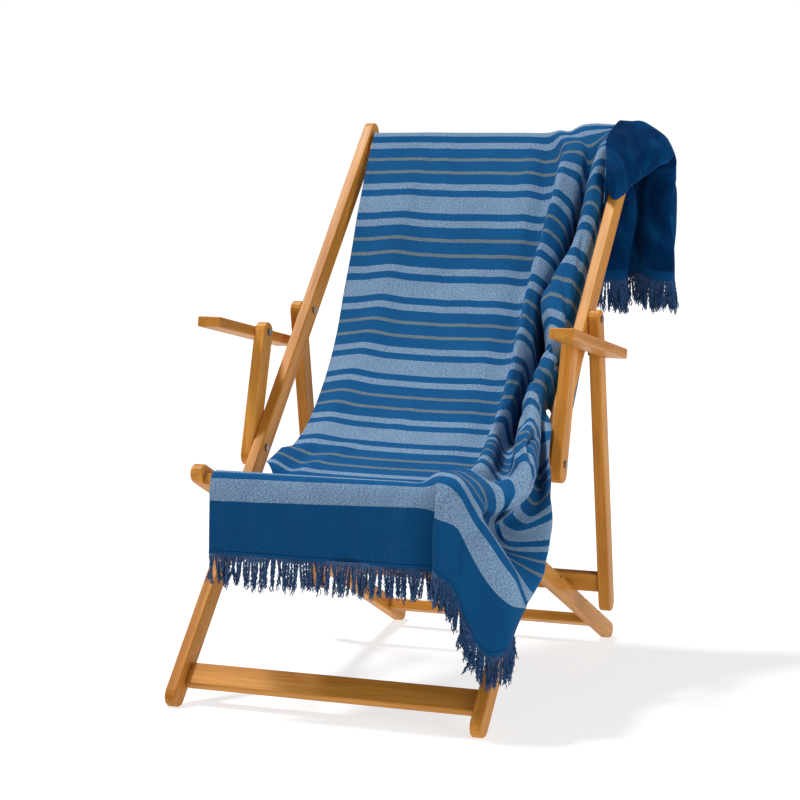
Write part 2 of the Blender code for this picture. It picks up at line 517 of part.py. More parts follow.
def bolt(name, side, centre, x_in, x_out, held, blind=0.0):
    """Bolt along X with a head at each end, or one that ends inside the last piece held."""
    steps = [(x_in - GAP - HEAD_H, HEAD_R), (x_in - GAP, HEAD_R), (x_in - GAP, BOLT_R)]
    if blind:
        steps += [(x_out + blind, BOLT_R)]
    else:
        steps += [(x_out + GAP, BOLT_R), (x_out + GAP, HEAD_R), (x_out + GAP + HEAD_H, HEAD_R)]
    turned(name, centre, [(side * x, r) for x, r in steps[::side]], STEEL, 1.0)
    ends = (side * (x_in - 0.01), side * (x_out + blind + GAP if blind else x_out + 0.01))
    guide = cutter(name + "_hole", disc(centre, BOLT_HOLE_R), *ends)
    for piece in held:
        cut(piece, guide)


def on_line(start, lean, distance):
    return (start[0] + distance * math.cos(lean), start[1] + distance * math.sin(lean))


def make_side(side, hand):
    """Everything on one side of the chair. side is -1 or 1."""
    def rail(name, start, end, depth, x_in, x_out, feet=False):
        return wood(f"{name}_{hand}", stadium(start, end, depth), side * x_in, side * x_out, feet)

    long_in = HALF_WIDTH - LONG_T
    seat_in = SEAT_FACE - SEAT_T
    side_in = HALF_WIDTH + GAP
    side_out = side_in + SIDE_T
    long_rail = rail("long_rail", LONG_FOOT, LONG_TOP, LONG_D, long_in, HALF_WIDTH, feet=True)
    seat_rail = rail("seat_rail", SEAT_FRONT, SEAT_REAR, SEAT_D, seat_in, SEAT_FACE, feet=True)
    prop_leg = rail("prop_leg", PIVOT_PROP, PROP_FOOT, PROP_D, side_in, side_out)
    lean = math.atan2(PIVOT_ARM[1] - PIVOT_SUPPORT[1], PIVOT_ARM[0] - PIVOT_SUPPORT[0])
    support_foot = on_line(PIVOT_SUPPORT, lean, -SUPPORT_PAST)
    arm_support = rail("arm_support", support_foot, PIVOT_ARM, ARM_SUPPORT_D, side_in, side_out)
    middle = on_line(PIVOT_ARM, ARMREST_SLOPE, (ARMREST_REAR - ARMREST_FRONT) / 2)
    slab = box_outline(middle, ARMREST_SLOPE, (ARMREST_FRONT + ARMREST_REAR, ARMREST_H))
    arm_in = side_out + GAP
    armrest = wood(f"armrest_{hand}", slab, side * arm_in, side * (arm_in + ARMREST_W))

    spacer_from, spacer_to = SEAT_FACE + GAP, long_in - GAP
    spacer_ends = [(side * x, SPACER_R) for x in (spacer_from, spacer_to)[::side]]
    spacer = turned(f"spacer_{hand}", PIVOT_SEAT, spacer_ends, STEEL, 1.0)
    bolt(f"seat_bolt_{hand}", side, PIVOT_SEAT, seat_in, HALF_WIDTH, (seat_rail, spacer, long_rail))
    bolt(f"prop_bolt_{hand}", side, PIVOT_PROP, long_in, side_out, (long_rail, prop_leg))
    bolt(f"support_bolt_{hand}", side, PIVOT_SUPPORT, long_in, side_out, (long_rail, arm_support))
    bolt(f"arm_bolt_{hand}", side, PIVOT_ARM, side_in, arm_in, (arm_support, armrest), ARM_BOLT_DEPTH)
    rear_arm = on_line(PIVOT_ARM, ARMREST_SLOPE, ARM_BOLTS_APART)
    bolt(f"rear_arm_bolt_{hand}", side, rear_arm, side_in, arm_in, (prop_leg, armrest), ARM_BOLT_DEPTH)

    for i in range(NOTCHES):
        corner = on_line(PROP_BAR_MIDDLE, SEAT_LEAN, (i - PROP_NOTCH) * NOTCH_STEP)
        size = (PROP_BAR[0] + 2 * GAP, PROP_BAR[1] + 2 * GAP)
        guide = cutter(f"notch_{i}_{hand}", box_outline(corner, PROP_LEAN, size), side * (seat_in - 0.01),
                       side * (SEAT_FACE + 0.01))
        cut(seat_rail, guide)


def make_bars():
    """Cross bars, each with its middle (y, z), its lean and its size."""
    long_reach = HALF_WIDTH - LONG_T - GAP
    seat_reach = SEAT_FACE - SEAT_T - GAP
    foot = on_line(LONG_FOOT, LONG_ANGLE, FOOT_BAR_UP)
    rear = on_line(SEAT_FRONT, SEAT_LEAN, REAR_BAR_ALONG)
    for name, middle, lean, size, reach in (
            ("foot_bar", on_line(foot, LONG_ANGLE - math.pi / 2, FOOT_BAR[1] / 2), LONG_ANGLE, FOOT_BAR, long_reach),
            ("rear_bar", rear, SEAT_LEAN, REAR_BAR, seat_reach),
            ("prop_bar", PROP_BAR_MIDDLE, PROP_LEAN, PROP_BAR, HALF_WIDTH),
            ("top_bar", TOP_BAR_MIDDLE, LONG_ANGLE, TOP_BAR, long_reach),
            ("front_bar", FRONT_BAR_MIDDLE, SEAT_LEAN, FRONT_BAR, seat_reach)):
        wood(name, box_outline(middle, lean, size), -reach, reach)


def clear_scene():
    for piece in list(bpy.data.objects):
        bpy.data.objects.remove(piece, do_unlink=True)


def stand_on_origin():
    """Parents everything to an empty that brings the bottom centre of the box to the origin."""
    bpy.context.view_layer.update()
    solids = [o for o in bpy.data.objects if o.type == "MESH" and not o.hide_render]
    corners = np.array([v.co for o in solids for v in o.data.vertices])
    low, high = corners.min(axis=0), corners.max(axis=0)
    root = bpy.data.objects.new("chair_with_towel", None)
    bpy.context.scene.collection.objects.link(root)
    for piece in bpy.data.objects:
        if piece is not root:
            piece.parent = root
    root.location = (-(low[0] + high[0]) / 2, -(low[1] + high[1]) / 2, 0)
    bpy.context.view_layer.update()


def main():
    clear_scene()
    for side, hand in ((-1, "left"), (1, "right")):
        make_side(side, hand)
    make_bars()
    make_towel()
    make_fringe("fringe_front", 0.0, 0.02, STRANDS_FRONT)
    make_fringe("fringe_back", TOWEL_LENGTH, TOWEL_LENGTH - 0.02, STRANDS_BACK)
    stand_on_origin()


main()
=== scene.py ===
"""Hammam towel draped over a folding deck chair, dressed for the render. Metres, +Z up.

The cloth is worked out in the chair's own frame: the long frame's feet stand at y = 0 and the
chair's middle is x = 0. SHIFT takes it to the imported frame. s runs along the towel from the front
hem and t across it from the left selvedge.
"""

import json
import math
from collections import namedtuple

import bpy
import numpy as np
from mathutils import Matrix, Vector


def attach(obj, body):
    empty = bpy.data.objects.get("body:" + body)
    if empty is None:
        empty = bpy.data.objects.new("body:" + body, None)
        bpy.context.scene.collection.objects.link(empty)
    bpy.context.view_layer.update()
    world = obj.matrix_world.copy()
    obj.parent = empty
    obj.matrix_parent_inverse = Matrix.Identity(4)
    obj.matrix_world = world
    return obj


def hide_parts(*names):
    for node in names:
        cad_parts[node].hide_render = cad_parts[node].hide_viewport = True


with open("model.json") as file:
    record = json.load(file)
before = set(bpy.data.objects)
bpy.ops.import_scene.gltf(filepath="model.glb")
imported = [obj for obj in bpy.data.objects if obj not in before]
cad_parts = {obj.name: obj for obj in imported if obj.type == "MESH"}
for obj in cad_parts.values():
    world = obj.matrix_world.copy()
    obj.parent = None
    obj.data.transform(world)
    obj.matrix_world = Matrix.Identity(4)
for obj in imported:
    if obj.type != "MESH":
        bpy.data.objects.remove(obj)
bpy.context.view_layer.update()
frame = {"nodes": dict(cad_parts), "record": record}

# slopes of the chair's pieces, for the grain of their wood
LONG_LEAN = math.radians(48.82)
SEAT_LEAN = math.radians(-22.24)
PROP_LEAN = math.radians(-77.99)
SUPPORT_LEAN = math.radians(75.95)
ARM_LEAN = math.radians(-8.48)

TOWEL_LENGTH = 1.594
CLOTH = 0.0014           # thickness
FRINGE_FRONT, FRINGE_BACK = 0.060, 0.068          # length of the yarns

feet = {mount["name"]: mount["pos_m"] for mount in frame["record"]["mounts"]}
left_foot, right_foot = feet["front_foot_left"], feet["front_foot_right"]
SHIFT = Vector(((left_foot[0] + right_foot[0]) / 2, left_foot[1], 0))

# ---------------------------------------------------------------- towel: tables
# where the flat part of the cloth lies, seen from the side, from the front hem to the rear hem
PROFILE = (
    # y, z
    (-0.0320, 0.2780),
    (-0.0315, 0.3450),
    (-0.0300, 0.3900),
    (-0.0220, 0.4120),
    (-0.0050, 0.4165),
    (0.0300, 0.4080),
    (0.0900, 0.3960),
    (0.1500, 0.3950),
    (0.2170, 0.4100),
    (0.3250, 0.4560),
    (0.4880, 0.5680),
    (0.6280, 0.7090),
    (0.7350, 0.8700),
    (0.8060, 0.9610),
    (0.8380, 0.9990),
    (0.8600, 1.0240),
    (0.8740, 1.0240),
    (0.8860, 1.0040),
    (0.8880, 0.9400),
    (0.8880, 0.8500),
    (0.8880, 0.7300),
)

# Sections across the cloth. s is the distance from the front hem along the cloth, left and flat
# are the x of the left selvedge and of the end of the flat part. Each fold line that follows has
# its x, how far it stands back from the flat cloth and how far above it. From left to right these
# are the crest and lip of the first ridge, both edges of the valley's floor, the lip and crest of
# the second ridge, its side, the fold under it, the pocket, pile and crease, the outer fold, its
# edge and the tail.
Section = namedtuple("Section", "name s left flat folds")
SECTIONS = (
    Section("front_hem", 0.0000, -0.200, 0.180, (
        (0.246, 0.014, -0.006), (0.246, 0.004, -0.006), (0.208, -0.008, 0.002), (0.213, -0.018, -0.001),
        (0.243, -0.010, -0.024), (0.256, -0.005, -0.055), (0.266, 0.002, -0.092), (0.275, 0.007, -0.109),
        (0.285, 0.014, -0.126), (0.299, 0.020, -0.140), (0.325, 0.032, -0.130), (0.326, 0.062, -0.113),
        (0.318, 0.092, -0.088), (0.308, 0.122, -0.063))),
    Section("first_stripe", 0.0970, -0.200, 0.180, (
        (0.238, -0.003, -0.009), (0.238, -0.009, -0.009), (0.212, -0.015, 0.004), (0.218, -0.023, 0.001),
        (0.250, -0.013, -0.011), (0.262, -0.006, -0.035), (0.274, 0.001, -0.060), (0.284, 0.007, -0.080),
        (0.296, 0.013, -0.100), (0.313, 0.020, -0.122), (0.332, 0.031, -0.142), (0.345, 0.061, -0.156),
        (0.336, 0.099, -0.160), (0.316, 0.131, -0.140))),
    Section("front_edge", 0.1420, -0.200, 0.180, (
        (0.196, -0.005, 0.006), (0.205, -0.011, 0.011), (0.213, -0.017, 0.015), (0.244, -0.022, 0.014),
        (0.257, -0.023, 0.003), (0.270, -0.017, -0.023), (0.284, -0.009, -0.048), (0.290, -0.003, -0.059),
        (0.299, 0.004, -0.074), (0.313, 0.013, -0.099), (0.333, 0.027, -0.134), (0.347, 0.057, -0.191),
        (0.338, 0.095, -0.183), (0.318, 0.129, -0.165))),
    Section("near_edge", 0.1800, -0.197, 0.165, (
        (0.188, 0.000, 0.019), (0.204, -0.005, 0.026), (0.220, -0.014, 0.027), (0.236, -0.024, 0.023),
        (0.261, -0.034, 0.010), (0.277, -0.034, -0.011), (0.286, -0.028, -0.029), (0.260, 0.004, -0.044),
        (0.264, 0.016, -0.061), (0.276, 0.017, -0.073), (0.298, 0.016, -0.106), (0.364, 0.040, -0.147),
        (0.352, 0.076, -0.141), (0.328, 0.108, -0.129))),
    Section("dip", 0.2145, -0.195, 0.155, (
        (0.178, -0.004, 0.018), (0.196, -0.008, 0.027), (0.214, -0.014, 0.031), (0.234, -0.022, 0.030),
        (0.267, -0.040, 0.015), (0.281, -0.050, -0.001), (0.284, -0.048, -0.022), (0.262, -0.018, -0.045),
        (0.264, -0.004, -0.062), (0.278, -0.010, -0.080), (0.305, -0.012, -0.098), (0.364, 0.021, -0.116),
        (0.352, 0.057, -0.112), (0.328, 0.089, -0.102))),
    Section("below_hidden", 0.2520, -0.193, 0.155, (
        (0.185, -0.006, 0.024), (0.204, -0.008, 0.036), (0.224, -0.013, 0.038), (0.244, -0.021, 0.032),
        (0.276, -0.036, 0.018), (0.293, -0.049, 0.004), (0.299, -0.061, -0.018), (0.280, -0.034, -0.036),
        (0.268, -0.014, -0.056), (0.276, -0.020, -0.074), (0.308, -0.033, -0.089), (0.364, -0.001, -0.089),
        (0.352, 0.036, -0.085), (0.328, 0.067, -0.076))),
    Section("swirl", 0.2750, -0.192, 0.155, (
        (0.196, -0.006, 0.020), (0.215, -0.008, 0.026), (0.238, -0.012, 0.010), (0.255, -0.014, 0.008),
        (0.283, -0.039, 0.023), (0.303, -0.046, 0.027), (0.316, -0.059, 0.005), (0.308, -0.074, -0.017),
        (0.292, -0.048, -0.028), (0.279, -0.031, -0.042), (0.297, -0.048, -0.075), (0.363, -0.014, -0.074),
        (0.350, 0.023, -0.068), (0.328, 0.054, -0.060))),
    Section("hidden_stripe", 0.2970, -0.190, 0.170, (
        (0.222, -0.018, 0.037), (0.238, -0.015, 0.028), (0.252, -0.012, 0.010), (0.268, -0.012, 0.010),
        (0.296, -0.041, 0.027), (0.317, -0.048, 0.042), (0.334, -0.061, 0.024), (0.334, -0.081, 0.000),
        (0.306, -0.086, -0.028), (0.272, -0.056, -0.054), (0.302, -0.061, -0.071), (0.363, -0.028, -0.058),
        (0.350, 0.011, -0.053), (0.328, 0.042, -0.044))),
    Section("above_hidden", 0.3420, -0.187, 0.182, (
        (0.220, -0.015, 0.048), (0.236, -0.010, 0.038), (0.248, -0.006, 0.008), (0.264, -0.008, 0.008),
        (0.288, -0.040, 0.045), (0.310, -0.055, 0.069), (0.329, -0.070, 0.048), (0.339, -0.090, 0.021),
        (0.326, -0.090, -0.005), (0.303, -0.076, -0.033), (0.326, -0.082, -0.050), (0.356, -0.050, -0.030),
        (0.349, -0.028, -0.029), (0.339, -0.008, -0.023))),
    Section("seat_grey", 0.4000, -0.183, 0.186, (
        (0.208, -0.021, 0.045), (0.223, -0.013, 0.040), (0.236, -0.004, 0.006), (0.252, -0.006, 0.006),
        (0.271, -0.036, 0.051), (0.293, -0.051, 0.071), (0.313, -0.066, 0.051), (0.325, -0.086, 0.026),
        (0.324, -0.091, 0.004), (0.309, -0.076, -0.022), (0.326, -0.078, -0.033), (0.333, -0.070, -0.019),
        (0.337, -0.066, -0.011), (0.341, -0.061, -0.005))),
    Section("seat_stripe", 0.4970, -0.179, 0.176, (
        (0.192, -0.035, 0.024), (0.201, -0.010, 0.024), (0.210, 0.004, -0.012), (0.223, 0.004, -0.012),
        (0.237, -0.004, 0.040), (0.262, -0.014, 0.060), (0.282, -0.029, 0.039), (0.287, -0.039, 0.019),
        (0.285, -0.043, 0.003), (0.282, -0.043, -0.014), (0.290, -0.049, -0.020), (0.296, -0.054, -0.016),
        (0.303, -0.058, -0.008), (0.308, -0.062, -0.002))),
    Section("crossing", 0.5600, -0.184, 0.174, (
        (0.189, -0.032, 0.030), (0.202, 0.002, 0.026), (0.206, 0.018, -0.036), (0.215, 0.018, -0.036),
        (0.221, 0.018, 0.046), (0.234, 0.006, 0.066), (0.254, 0.005, 0.057), (0.259, 0.003, 0.045),
        (0.260, 0.001, 0.034), (0.261, -0.003, 0.026), (0.263, -0.008, 0.020), (0.268, -0.016, 0.017),
        (0.274, -0.024, 0.016), (0.281, -0.031, 0.016))),
    Section("inside_rail", 0.5850, -0.187, 0.172, (
        (0.186, -0.026, 0.035), (0.200, 0.006, 0.029), (0.204, 0.026, -0.050), (0.213, 0.026, -0.050),
        (0.220, 0.024, 0.048), (0.233, 0.011, 0.068), (0.253, 0.010, 0.058), (0.259, 0.014, 0.046),
        (0.259, 0.018, 0.037), (0.259, 0.020, 0.030), (0.260, 0.021, 0.024), (0.260, 0.021, 0.019),
        (0.260, 0.020, 0.014), (0.261, 0.018, 0.009))),
    Section("under_arm", 0.6100, -0.190, 0.170, (
        (0.183, -0.020, 0.040), (0.198, 0.010, 0.032), (0.202, 0.038, -0.066), (0.212, 0.038, -0.066),
        (0.219, 0.030, 0.050), (0.232, 0.016, 0.070), (0.252, 0.014, 0.060), (0.259, 0.020, 0.042),
        (0.258, 0.030, 0.022), (0.257, 0.040, 0.002), (0.257, 0.048, -0.012), (0.258, 0.054, -0.022),
        (0.258, 0.058, -0.032), (0.258, 0.061, -0.042))),
    Section("low_back", 0.6970, -0.201, 0.160, (
        (0.172, -0.009, 0.048), (0.192, 0.014, 0.034), (0.199, 0.050, -0.050), (0.212, 0.050, -0.050),
        (0.217, 0.044, 0.054), (0.230, 0.024, 0.076), (0.250, 0.020, 0.064), (0.255, 0.040, 0.044),
        (0.255, 0.052, 0.022), (0.255, 0.062, 0.000), (0.254, 0.070, -0.022), (0.253, 0.076, -0.044),
        (0.252, 0.080, -0.066), (0.252, 0.084, -0.095))),
    Section("pinch", 0.7900, -0.214, 0.152, (
        (0.164, -0.009, 0.052), (0.184, 0.006, 0.034), (0.189, 0.046, -0.046), (0.198, 0.046, -0.046),
        (0.192, 0.036, 0.066), (0.205, 0.018, 0.092), (0.244, 0.022, 0.084), (0.255, 0.044, 0.062),
        (0.255, 0.058, 0.040), (0.255, 0.068, 0.020), (0.254, 0.074, -0.001), (0.253, 0.078, -0.022),
        (0.252, 0.080, -0.043), (0.252, 0.081, -0.068))),
    Section("mid_back", 0.8970, -0.230, 0.148, (
        (0.160, -0.008, 0.058), (0.190, 0.010, 0.034), (0.199, 0.050, -0.045), (0.212, 0.050, -0.045),
        (0.216, 0.050, 0.086), (0.236, 0.028, 0.110), (0.252, 0.036, 0.104), (0.256, 0.056, 0.080),
        (0.255, 0.066, 0.060), (0.254, 0.073, 0.040), (0.253, 0.078, 0.020), (0.252, 0.080, 0.000),
        (0.252, 0.080, -0.020), (0.252, 0.078, -0.042))),
    Section("upper_back", 1.0000, -0.238, 0.154, (
        (0.166, -0.011, 0.056), (0.197, 0.006, 0.028), (0.204, 0.046, -0.060), (0.214, 0.046, -0.060),
        (0.222, 0.045, 0.082), (0.239, 0.028, 0.108), (0.251, 0.037, 0.107), (0.256, 0.052, 0.094),
        (0.256, 0.060, 0.081), (0.255, 0.066, 0.068), (0.254, 0.070, 0.054), (0.253, 0.073, 0.041),
        (0.253, 0.075, 0.027), (0.253, 0.075, 0.012))),
    Section("near_top", 1.0600, -0.243, 0.156, (
        (0.169, -0.013, 0.054), (0.201, 0.003, 0.026), (0.207, 0.036, -0.060), (0.217, 0.036, -0.060),
        (0.224, 0.038, 0.074), (0.239, 0.029, 0.107), (0.251, 0.036, 0.113), (0.258, 0.040, 0.107),
        (0.262, 0.041, 0.099), (0.264, 0.038, 0.089), (0.265, 0.033, 0.080), (0.266, 0.026, 0.072),
        (0.266, 0.020, 0.065), (0.266, 0.013, 0.060))),
    Section("high_back", 1.0970, -0.246, 0.156, (
        (0.170, -0.015, 0.052), (0.204, 0.001, 0.030), (0.209, 0.026, -0.040), (0.218, 0.026, -0.040),
        (0.226, 0.034, 0.070), (0.239, 0.029, 0.104), (0.251, 0.037, 0.111), (0.259, 0.043, 0.104),
        (0.267, 0.042, 0.092), (0.280, 0.020, 0.050), (0.284, -0.006, 0.013), (0.282, -0.017, 0.032),
        (0.278, -0.022, 0.048), (0.272, -0.027, 0.060))),
    Section("over_rail", 1.1500, -0.251, 0.154, (
        (0.168, -0.013, 0.046), (0.206, 0.003, 0.038), (0.212, 0.012, 0.008), (0.222, 0.012, 0.008),
        (0.228, 0.030, 0.062), (0.240, 0.032, 0.086), (0.254, 0.042, 0.092), (0.268, 0.048, 0.089),
        (0.282, 0.046, 0.080), (0.304, 0.036, 0.046), (0.318, 0.022, 0.008), (0.308, 0.006, 0.034),
        (0.286, -0.006, 0.056), (0.260, -0.014, 0.063))),
    Section("below_top", 1.2000, -0.256, 0.150, (
        (0.164, -0.010, 0.036), (0.200, 0.000, 0.040), (0.210, 0.000, 0.026), (0.220, 0.002, 0.028),
        (0.229, 0.016, 0.046), (0.241, 0.028, 0.062), (0.256, 0.040, 0.067), (0.278, 0.044, 0.065),
        (0.302, 0.042, 0.058), (0.316, 0.042, 0.026), (0.341, 0.034, -0.004), (0.330, 0.016, 0.026),
        (0.290, 0.004, 0.047), (0.250, -0.008, 0.052))),
    Section("top", 1.2935, -0.262, 0.112, (
        (0.134, 0.000, 0.006), (0.155, 0.002, 0.002), (0.168, 0.004, 0.010), (0.182, 0.006, 0.017),
        (0.210, 0.008, 0.019), (0.236, 0.010, 0.017), (0.258, 0.016, 0.017), (0.280, 0.020, 0.017),
        (0.304, 0.020, 0.014), (0.338, 0.014, -0.018), (0.366, 0.012, -0.048), (0.345, 0.018, -0.006),
        (0.300, 0.022, 0.022), (0.254, 0.020, 0.026))),
    Section("behind", 1.3890, -0.262, 0.120, (
        (0.150, 0.010, 0.004), (0.190, 0.012, 0.002), (0.262, 0.016, 0.004), (0.262, 0.028, 0.008),
        (0.216, 0.034, 0.014), (0.236, 0.044, 0.028), (0.262, 0.046, 0.032), (0.284, 0.042, 0.028),
        (0.304, 0.034, 0.018), (0.332, 0.024, 0.008), (0.358, 0.026, 0.000), (0.352, 0.056, 0.010),
        (0.322, 0.064, 0.020), (0.290, 0.066, 0.030))),
    Section("rear_hem", 1.5940, -0.262, 0.130, (
        (0.172, 0.008, 0.000), (0.205, 0.012, 0.000), (0.266, 0.018, 0.000), (0.266, 0.030, 0.002),
        (0.225, 0.036, 0.004), (0.243, 0.046, 0.010), (0.266, 0.044, 0.012), (0.284, 0.034, 0.012),
        (0.300, 0.016, 0.010), (0.328, 0.004, 0.000), (0.362, 0.010, 0.000), (0.356, 0.050, 0.006),
        (0.326, 0.060, 0.010), (0.296, 0.064, 0.012))),
)
BUMP_X, BUMP_W, BUMP_H = -0.140, 0.045, 0.014    # soft lengthwise swell in the flat part
BUMP_MID, BUMP_LONG = 0.75, 0.42                 # s of its middle, and how far it reaches from there
FLAT_MARGIN = 0.05      # the last stretch before the end of the flat part
PROFILE_STEPS = 16      # points between one row of PROFILE and the next
NORMAL_REACH = 0.006    # how far to each side the profile's slope is read
FOLD_SLACK = 0.6        # 1 for the roundest folds, 0 for straight runs between the fold lines
FOLD_STEPS = 10         # points between one fold line and the next
SOFT_STEP, SOFT_ROUNDS = 0.003, 7        # the folds are rounded at points this far apart, so often

# ---------------------------------------------------------------- towel: curves
def curve_through(points, knots, at, slack=1.0):
    """Smooth curve through points that stand at knots, read at the values in at."""
    p = np.asarray(points, float)
    u = np.asarray(knots, float)
    step = np.diff(u)[:, None]
    rate = np.diff(p, axis=0) / step
    inner = (rate[:-1] * step[1:] + rate[1:] * step[:-1]) / (step[1:] + step[:-1])
    slope = np.vstack([rate[:1], inner, rate[-1:]]) * slack
    i = np.clip(np.searchsorted(u, at, side="right") - 1, 0, len(u) - 2)
    h = step[i]
    f = (np.asarray(at)[:, None] - u[i][:, None]) / h
    return ((1 + 2 * f) * (1 - f) ** 2 * p[i] + f * (1 - f) ** 2 * h * slope[i]
            + f * f * (3 - 2 * f) * p[i + 1] + f * f * (f - 1) * h * slope[i + 1])


def even_curve(points, steps, slack=1.0):
    """Points of the smooth curve, and how far along it each one is."""
    p = np.asarray(points, float)
    knots = np.concatenate([[0], np.cumsum(np.linalg.norm(np.diff(p, axis=0), axis=1) ** 0.5)])
    at = np.concatenate([np.linspace(a, b, steps, endpoint=False) for a, b in zip(knots, knots[1:])])
    line = curve_through(p, knots, np.append(at, knots[-1]), slack)
    return line, np.concatenate([[0], np.cumsum(np.linalg.norm(np.diff(line, axis=0), axis=1))])


def read_at(line, arc, at):
    """Points of line at the lengths in at, where arc says how far along it each of its points is."""
    return np.stack([np.interp(at, arc, axis) for axis in line.T], axis=-1)


# ---------------------------------------------------------------- towel
def profile_at(s):
    """Place of the flat cloth at s as (y, z), and its front normal."""
    line, arc = even_curve(PROFILE, PROFILE_STEPS)
    here = read_at(line, arc, s)
    ahead, behind = min(s + NORMAL_REACH, arc[-1]), max(s - NORMAL_REACH, 0)
    run = read_at(line, arc, ahead) - read_at(line, arc, behind)
    run /= np.linalg.norm(run, axis=-1, keepdims=True)
    return here, (-run[1], run[0])


def section_points(s):
    """Points across the cloth at s, from the left selvedge to the tail."""
    stops = [row.s for row in SECTIONS]
    edges = curve_through([(row.left, row.flat) for row in SECTIONS], stops, [s])[0]
    folds = curve_through([np.ravel(row.folds) for row in SECTIONS], stops, [s])[0].reshape(-1, 3)
    (y, z), (ny, nz) = profile_at(s)
    swell = math.exp(-((s - BUMP_MID) / BUMP_LONG) ** 4)
    points = []
    left, flat = edges
    for x in (left, (left + BUMP_X) / 2, BUMP_X, BUMP_X + BUMP_W, 0.0, flat - FLAT_MARGIN, flat):
        rise = BUMP_H * swell * math.exp(-((x - BUMP_X) / BUMP_W) ** 2)
        points.append((x, y + ny * rise, z + nz * rise))
    points += [(x, y + back, z + up) for x, back, up in folds]
    return np.array(points)


def soften(line):
    """Rounds every fold of a line of even steps, its ends kept."""
    for _ in range(SOFT_ROUNDS):
        line[1:-1] += (line[:-2] + line[2:] - 2 * line[1:-1]) / 4
    return line


def section_line(s):
    """Curve across the cloth at s, how far along it each point is, and where its fold lines are."""
    line, arc = even_curve(section_points(s), FOLD_STEPS, FOLD_SLACK)
    steps = int(arc[-1] / SOFT_STEP)
    even = soften(read_at(line, arc, np.linspace(0, arc[-1], steps + 1)))
    even_arc = np.concatenate([[0], np.cumsum(np.linalg.norm(np.diff(even, axis=0), axis=1))])
    folds = np.interp(arc[::FOLD_STEPS] / arc[-1] * steps, np.arange(steps + 1), even_arc)
    return even, even_arc, folds


# ---------------------------------------------------------------- towel: fine shape
# cells along the cloth: where each span starts and its number of cells
ALONG = ((0.0, 22), (0.09, 46), (0.30, 32), (0.48, 26), (0.62, 52), (0.98, 34), (1.12, 40), (1.36, 26),
         (TOWEL_LENGTH, 0))
# cells across it, from each fold line to the next
ACROSS = (7, 7, 7, 7, 8, 8, 7, 6, 11, 4, 12, 10, 10, 9, 8, 9, 8, 12, 9, 10)

